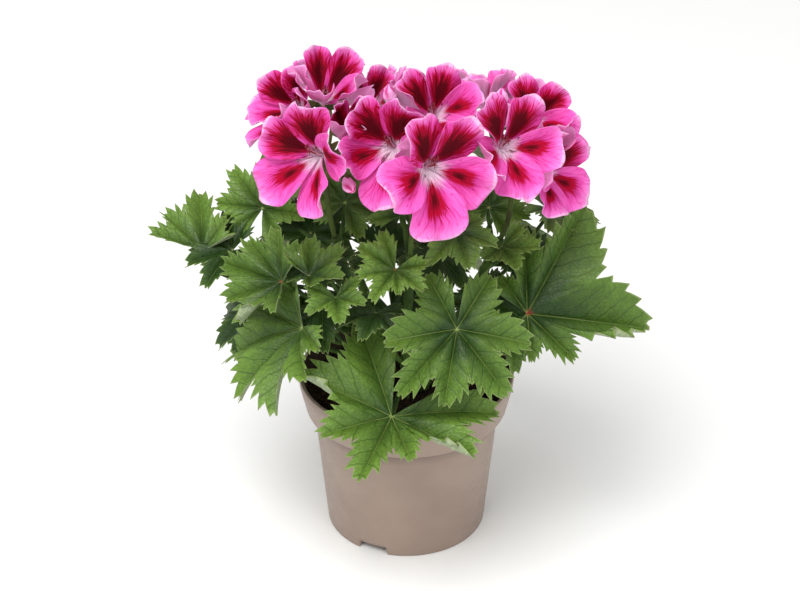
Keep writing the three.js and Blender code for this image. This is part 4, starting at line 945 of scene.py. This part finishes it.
class PELARGONIUM_OT_compost(bpy.types.Operator):
    """Fills the pot with crumbly compost and scatters loose crumbs and fibres on it."""

    bl_idname = "pelargonium.compost"
    bl_label = "Compost"

    def execute(self, context):
        settings = context.scene.pelargonium_pot
        material = compost_material(settings)
        rng = np.random.default_rng(11)
        waves = rng.uniform(-1, 1, (28, 3)) * np.array([0.55, 0.55, 3.14])

        def level(x, y):
            """83 mm at the wall and 3 mm more at the middle, with 28 ripples of 12 mm and over."""
            out = np.hypot(x, y)
            ripple = sum(np.sin(x * a + y * b + c) for a, b, c in waves)
            return (COMPOST_LEVEL + 3 * (1 - np.minimum(out / COMPOST_RADIUS, 1))
                    + 0.28 * ripple * np.clip((COMPOST_RADIUS - out) / 3, 0, 1))

        def spot(within):
            """A random place on the compost, at its level."""
            r, a = within * np.sqrt(rng.uniform()), rng.uniform(0, 2 * np.pi)
            x, y = r * np.cos(a), r * np.sin(a)
            return np.array([x, y, level(x, y)])

        rows, sides = 60, 150
        angle = np.linspace(0, 2 * np.pi, sides, endpoint=False)
        radius = np.linspace(0.8, COMPOST_RADIUS + 0.2, rows)[:, None]
        x, y = radius * np.cos(angle), radius * np.sin(angle)
        surface = np.stack([x, y, level(x, y) + rng.uniform(-0.28, 0.28, x.shape)], -1)
        # Below the surface it follows the pot's inside down to its floor.
        lower = np.stack([np.stack([r * np.cos(angle), r * np.sin(angle), np.full(sides, z)], -1)
                          for r, z in ((53.9, 77.8), (49.9, 74), (43.5, 6.8))])
        fill = Gathered()
        fill.add(*capped(np.concatenate([surface, lower]), (0, 0, COMPOST_LEVEL + 3), (0, 0, 6.8)), dry=0.0)
        fill.piece("compost_fill", material, "compost", "soil")

        # A crumb: an ellipsoid on a 4 by 6 grid, each point pushed in or out by a tenth or two.
        loose = Gathered()
        up = np.linspace(0.6, np.pi - 0.6, 4)[:, None]
        turn = np.linspace(0, 2 * np.pi, 6, endpoint=False)
        ball, quads, caps = capped(np.stack([np.sin(up) * np.cos(turn), np.sin(up) * np.sin(turn),
                                             np.cos(up) * np.ones(6)], -1), (0, 0, 1), (0, 0, -1))
        for _ in range(settings.crumbs):
            centre = spot(53.5)
            size = rng.uniform(0.5, 1.9) * rng.uniform(0.7, 1.0)
            lump = ball * rng.uniform(0.75, 1.2, (len(ball), 1)) * size * rng.uniform(0.6, 1.1, 3)
            centre[2] += 0.35 * size
            loose.add(centre + lump, quads, caps, dry=rng.uniform(0, 0.6) ** 2)
        s = np.linspace(0, 1, 7)[:, None]
        for _ in range(settings.fibres):
            start = spot(48) * (1, 1, 0)
            turned = rng.uniform(0, 2 * np.pi) + rng.uniform(-1.2, 1.2) * s
            reach = rng.uniform(3, 6)
            path = start + reach * s * np.concatenate([np.cos(turned), np.sin(turned), 0 * s], 1)
            path[:, 2] = level(path[:, 0], path[:, 1]) + 0.5 + 0.9 * np.sin(np.pi * s[:, 0]) * rng.uniform()
            loose.add(*tube(path, 0.16 * (1 - 0.6 * s[:, 0]), 5), dry=rng.uniform(0.4, 1))
        loose.piece("compost_crumbs", material, "compost")
        return {"FINISHED"}


def petiole_of(path, share, at, normal):
    """The petiole's curve from its place on the stem up to the blade."""
    place = (0.2 + 0.8 * share) * STEM_STEPS
    start = np.array([np.interp(place, np.arange(STEM_STEPS + 1), path[:, k]) for k in range(3)])
    tangent = unit(path[min(STEM_STEPS, int(place) + 1)] - path[int(place)])
    out = (at - start) * (1, 1, 0)
    return bezier(start, unit(0.6 * tangent + unit(out)), at, normal, 26)


def sepals(gathered, at, axes, seed, reach, lean, wide, lift):
    """Five sepals: P(s, w) = foot + outward s reach + normal (lift + lean s^2), with half-width
    wide sin(pi s^0.6) w, folded a little along the middle."""
    normal, along, across = axes
    s = np.linspace(0.04, 1, 9)[:, None]
    w = np.linspace(-1, 1, 5)[None, :]
    half = wide * np.sin(np.pi * s ** 0.62) ** 0.8 + 0.12
    for k in range(5):
        angle = np.radians(72 * k + 36)
        outward = along * np.cos(angle) + across * np.sin(angle)
        side = np.cross(normal, outward)
        fold = 0.35 * np.abs(w) * half + lift + lean * s ** 2 + 0.8 * vary(seed, 40 + k) * s
        radial = CALYX_RADIUS + (reach - CALYX_RADIUS) * s * np.ones_like(w)
        points = at + radial[..., None] * outward + (half * w)[..., None] * side + fold[..., None] * normal
        sheet = thicken(points.reshape(-1, 3), grid(9, 5), NO_TRIANGLES, border(9, 5), 0.45)
        gathered.add(*sheet[:3], flush=np.tile(0.35 * (s * np.ones_like(w)).ravel(), 2))


def calyx(gathered, hub, at, axes, neck, upward, flush, cup, *sepal):
    """A pedicel from the hub to neck mm under a bloom or bud, leaving it upward by a share, then a cup of
    depths and radii, and the sepals."""
    foot = at - neck * axes[0]
    leaving = unit(unit(foot - hub) + np.array([0, 0, upward]))
    pedicel = bezier(hub, leaving, foot, axes[0], 20)
    gathered.add(*tube(pedicel, np.linspace(0.85, 1.0, 20), 9), flush=flush)
    depths, radii = np.transpose(cup)
    gathered.add(*tube(at - depths[:, None] * axes[0], radii, 12), flush=0.25)
    sepals(gathered, at, axes, *sepal)


class PELARGONIUM_OT_stalks(bpy.types.Operator):
    """Grows the stems, petioles, flower stalks and calyces."""

    bl_idname = "pelargonium.stalks"
    bl_label = "Stalks"

    def execute(self, context):
        settings = context.scene.pelargonium_foliage
        material = stalk_material(settings)
        radius = settings.stem_radius / MM
        for name in STEMS:
            gathered = Gathered()
            path = stem_path(name)
            run = np.linspace(0, 1, len(path))
            leaves = [leaf for leaf in LEAVES if leaf[1] == name]
            # The stem swells at each knot, where a petiole leaves it.
            swell = sum(0.22 * np.exp(-((run - 0.2 - 0.8 * leaf[2]) / 0.012) ** 2) for leaf in leaves)
            girth = radius * (1 - 0.22 * run) * (1 + np.minimum(swell, 0.3))
            gathered.add(*tube(path, girth, 18), flush=0.0)
            for leaf in leaves:
                stalk = petiole_of(path, leaf[2], np.array(leaf[3:6], float), direction(*leaf[6:8]))
                gathered.add(*tube(stalk, np.linspace(1.5, 0.95, len(stalk)), 12), flush=0.0)
            if name in HEADS:
                hub = np.array(HEADS[name], float)
                peduncle = bezier(path[-1], unit(path[-1] - path[-3]), hub, np.array([0, 0, 1.0]), 22)
                gathered.add(*tube(peduncle, 1.4, 14), flush=0.1)
                collar = hub + np.linspace(-3, 2, 7)[:, None] * np.array([0, 0, 1])
                gathered.add(*tube(collar, [1.9, 2.3, 2.7, 2.9, 2.8, 2.4, 1.6], 14), flush=0.2)
                for index, (head, *place, azimuth, elevation, turn, _, _) in enumerate(BLOOMS):
                    if head == name:
                        calyx(gathered, hub, np.array(place, float), facing(azimuth, elevation, turn), 6.5,
                              0.5, 0.55, BLOOM_CUP, index + PETAL_SEED, 9.6, 0.0, 1.7, -3.2)
                for head, *place, azimuth, elevation, long in BUDS:
                    if head == name:
                        calyx(gathered, hub, np.array(place, float), facing(azimuth, elevation), 4.5, 0.0,
                              0.5, BUD_CUP, 7, 3.6, 0.5 * long, 1.3, -1.5)
            gathered.piece("stalks_" + name, material, "leaf_green", "leafy_stem_" + name)
        return {"FINISHED"}


class PELARGONIUM_OT_foliage(bpy.types.Operator):
    """Spreads the toothed, pleated blades."""

    bl_idname = "pelargonium.foliage"
    bl_label = "Foliage"

    def execute(self, context):
        settings = context.scene.pelargonium_foliage
        material = blade_material(settings)
        for stem in STEMS:
            gathered = Gathered()
            for seed, (name, of, _, *place, azimuth, elevation, turn, size, cup,
                       droop) in enumerate(LEAVES, 1):
                if of != stem:
                    continue
                sheet, lie = leaf_sheet(seed, name, np.array(place, float), facing(azimuth, elevation, turn),
                                        size, cup, droop, settings)
                # Blades inside the plant get painted shade through their tone; the others get a random tone.
                tone = INNER_PAINTED_SHADE if any(word in name for word in INNER) else 0.6 * vary(seed, 70)
                gathered.add(*sheet[:3], lie=lie, under=sheet[3], tone=tone,
                             stained=0.9 if name in STAINED else 0.0)
            gathered.piece("blades_" + stem, material, "leaf_green", "leafy_stem_" + stem)
        return {"FINISHED"}


class PELARGONIUM_OT_blooms(bpy.types.Operator):
    """Opens the blooms: five ruffled petals each, with stamens and a style."""

    bl_idname = "pelargonium.blooms"
    bl_label = "Blooms"

    def execute(self, context):
        settings = context.scene.pelargonium_bloom
        material = petal_material(settings)
        threads_material = stamen_material(settings)
        threads = {head: Gathered() for head in HEADS}
        rows, columns = 20, 41
        rho = (np.linspace(0, 1, rows) ** 0.85 * 0.97 + 0.03)[:, None] * np.ones(columns)
        u = 0.985 * np.sin(np.linspace(-np.pi / 2, np.pi / 2, columns))[None, :] * np.ones((rows, 1))
        thick = settings.petal / MM * (1 - 0.5 * rho.ravel() ** 10)
        for index, bloom in enumerate(BLOOMS):
            gathered = Gathered()
            for k, petal in enumerate(PETALS):
                points, share = petal_surface(index, k, rho, u, settings.ruffle)
                sheet = thicken(points.reshape(-1, 3), grid(rows, columns), NO_TRIANGLES,
                                border(rows, columns), thick)
                lie = np.stack([u, share, rho], -1).reshape(-1, 3)
                gathered.add(*sheet[:3], petal=np.concatenate([lie, lie]), under=sheet[3],
                             upper=float(petal[3]), tone=vary(index + PETAL_SEED, 60 + k))
            gathered.piece(f"petals_{index + 1}", material, "petal_pink", f"bloom_{index + 1}")
            self.stamens(threads[bloom[0]], index)
        for head, gathered in threads.items():
            gathered.piece("stamens_" + head, threads_material, "petal_pink")
        return {"FINISHED"}

    def stamens(self, gathered, index):
        """Seven filaments and a style: each leaves the throat along the face's normal and curls up toward
        the upper petals, ending in an anther, or in five curled stigmas on the style."""
        _, *place, azimuth, elevation, turn, size, _ = BLOOMS[index]
        at, (normal, along, across) = np.array(place, float), facing(azimuth, elevation, turn)
        reach = 0.3 * size
        for k in range(7):
            spread = np.radians(22 * vary(index, 80 + k))
            start = at - 1.5 * normal + 0.7 * (along * np.cos(k) + across * np.sin(k))
            lean = np.cos(spread) * -along + np.sin(spread) * across
            end = start + reach * (1 + 0.25 * vary(index, 90 + k)) * (0.8 * normal + 0.45 * lean)
            path = bezier(start, normal, end, unit(0.3 * normal + lean), 14)
            gathered.add(*tube(path, np.linspace(0.34, 0.24, 14), 7),
                         reach=np.append(np.repeat(np.linspace(0, 0.7, 14), 7), [0, 0.7]))
            anther = end + np.linspace(-1.1, 1.1, 6)[:, None] * unit(lean + 0.2 * across)
            gathered.add(*tube(anther, [0.2, 0.45, 0.55, 0.55, 0.45, 0.2], 8), reach=1.0)
        tip = at + reach * 0.85 * normal - 0.25 * reach * along
        style = bezier(at - 1.5 * normal, normal, tip, unit(normal - 0.6 * along), 14)
        gathered.add(*tube(style, 0.34, 8), reach=0.9)
        for k in range(5):
            angle = np.radians(72 * k)
            outward = along * np.cos(angle) + across * np.sin(angle)
            curl = bezier(tip, normal, tip + 1.9 * outward + 0.6 * normal, unit(outward - normal), 8)
            gathered.add(*tube(curl, np.linspace(0.3, 0.18, 8), 6), reach=1.0)


class PELARGONIUM_OT_buds(bpy.types.Operator):
    """Rolls the furled buds."""

    bl_idname = "pelargonium.buds"
    bl_label = "Buds"

    def execute(self, context):
        material = bud_material(context.scene.pelargonium_bloom)
        # P(s, a) = at + s L normal + R(s) (1 + 0.12 s cos(3 a + 5 s)) (along cos a + across sin a).
        s = np.linspace(0, 1, 26)[:, None]
        a = np.linspace(0, 2 * np.pi, 40, endpoint=False)[None, :]
        fold = np.cos(3 * a + 5 * s)
        radius = np.interp(s, [0, 0.2, 0.5, 0.8, 1], [1.5, 2.7, 3.5, 2.5, 0.6])
        r = (radius * (1 + 0.12 * fold * s))[..., None]
        share = np.append(s * np.ones_like(a), [0, 1])
        for index, (_, *place, azimuth, elevation, long) in enumerate(BUDS):
            at, (normal, along, across) = np.array(place, float), facing(azimuth, elevation)
            body = (at + long * s[..., None] * normal
                    + r * (along * np.cos(a)[..., None] + across * np.sin(a)[..., None]))
            gathered = Gathered()
            gathered.add(*capped(body, at, at + (long + 0.3) * normal), reach=share,
                         fold=np.append(0.5 - 0.5 * fold, [0, 1]))
            gathered.piece(f"furled_petals_{index + 1}", material, "petal_pink", f"bud_{index + 1}")
        return {"FINISHED"}


class PELARGONIUM_OT_stage(bpy.types.Operator):
    """Lays the pale floor and sets the soft studio light and the camera."""

    bl_idname = "pelargonium.stage"
    bl_label = "Stage"

    def execute(self, context):
        settings, scene = context.scene.pelargonium_stage, context.scene
        mesh = bpy.data.meshes.new("floor")
        mesh.from_pydata([(-4, -4, 0), (4, -4, 0), (4, 4, 0), (-4, 4, 0)], [], [(0, 1, 2, 3)])
        floor = bpy.data.objects.new("floor", mesh)
        scene.collection.objects.link(floor)
        made, put = new_material("matt_white_board")
        put("OutputMaterial", put("BsdfPrincipled", {"Base Color": settings.floor, "Roughness": 0.9,
                                                     "Specular IOR Level": 0.1}))
        mesh.materials.append(made)
        scene.world = bpy.data.worlds.new("white_surroundings")
        scene.world.use_nodes = True
        white, strength = scene.world.node_tree.nodes["Background"].inputs[:2]
        white.default_value, strength.default_value = (1, 1, 1, 1), settings.light
        middle = Vector(VIEW_MIDDLE)
        for name, place, size, power in (("key_box", (-0.45, -0.75, 1.7), 1.2, settings.key),
                                         ("front_box", (0.9, -1.3, 0.8), 0.9, settings.fill)):
            lamp = bpy.data.objects.new(name, bpy.data.lights.new(name, "AREA"))
            lamp.data.size, lamp.data.energy, lamp.location = size, power, place
            lamp.rotation_euler = (middle - lamp.location).to_track_quat("-Z", "Y").to_euler()
            scene.collection.objects.link(lamp)
        camera = bpy.data.objects.new("camera", bpy.data.cameras.new("camera"))
        camera.data.lens, camera.data.sensor_width = settings.lens, 36
        back = Vector(direction(-90, settings.elevation))
        camera.location = middle + back * settings.distance
        camera.rotation_euler = (-back).to_track_quat("-Z", "Y").to_euler()
        scene.collection.objects.link(camera)
        scene.camera = camera
        scene.view_settings.view_transform = "Standard"
        return {"FINISHED"}


class PELARGONIUM_PT_panel(bpy.types.Panel):
    """Lists the settings and the steps that build the plant."""

    bl_label = "Pelargonium"
    bl_idname = "PELARGONIUM_PT_panel"
    bl_space_type = "VIEW_3D"
    bl_region_type = "UI"
    bl_category = "Pelargonium"

    def draw(self, context):
        for group in GROUPS:
            box = self.layout.box()
            settings = getattr(context.scene, group)
            for key in settings.bl_rna.properties.keys():
                if key not in {"rna_type", "name"}:
                    box.prop(settings, key)
        for step in STEPS:
            self.layout.operator(step.bl_idname)


GROUPS = {
    "pelargonium_pot": PotSettings,
    "pelargonium_foliage": FoliageSettings,
    "pelargonium_bloom": BloomSettings,
    "pelargonium_stage": StageSettings,
}
STEPS = (PELARGONIUM_OT_pot, PELARGONIUM_OT_compost, PELARGONIUM_OT_stalks, PELARGONIUM_OT_foliage,
         PELARGONIUM_OT_blooms, PELARGONIUM_OT_buds, PELARGONIUM_OT_stage)


def register():
    """Registers the settings, the steps and the panel."""
    for name, group in GROUPS.items():
        bpy.utils.register_class(group)
        setattr(bpy.types.Scene, name, PointerProperty(type=group))
    for step in (*STEPS, PELARGONIUM_PT_panel):
        bpy.utils.register_class(step)


def unregister():
    """Takes the panel, the steps and the settings away again."""
    for step in reversed((*STEPS, PELARGONIUM_PT_panel)):
        bpy.utils.unregister_class(step)
    for name, group in GROUPS.items():
        delattr(bpy.types.Scene, name)
        bpy.utils.unregister_class(group)


def main():
    """Builds every piece in order."""
    register()
    for step in STEPS:
        family, _, action = step.bl_idname.partition(".")
        getattr(getattr(bpy.ops, family), action)()
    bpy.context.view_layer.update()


if __name__ == "__main__":
    main()
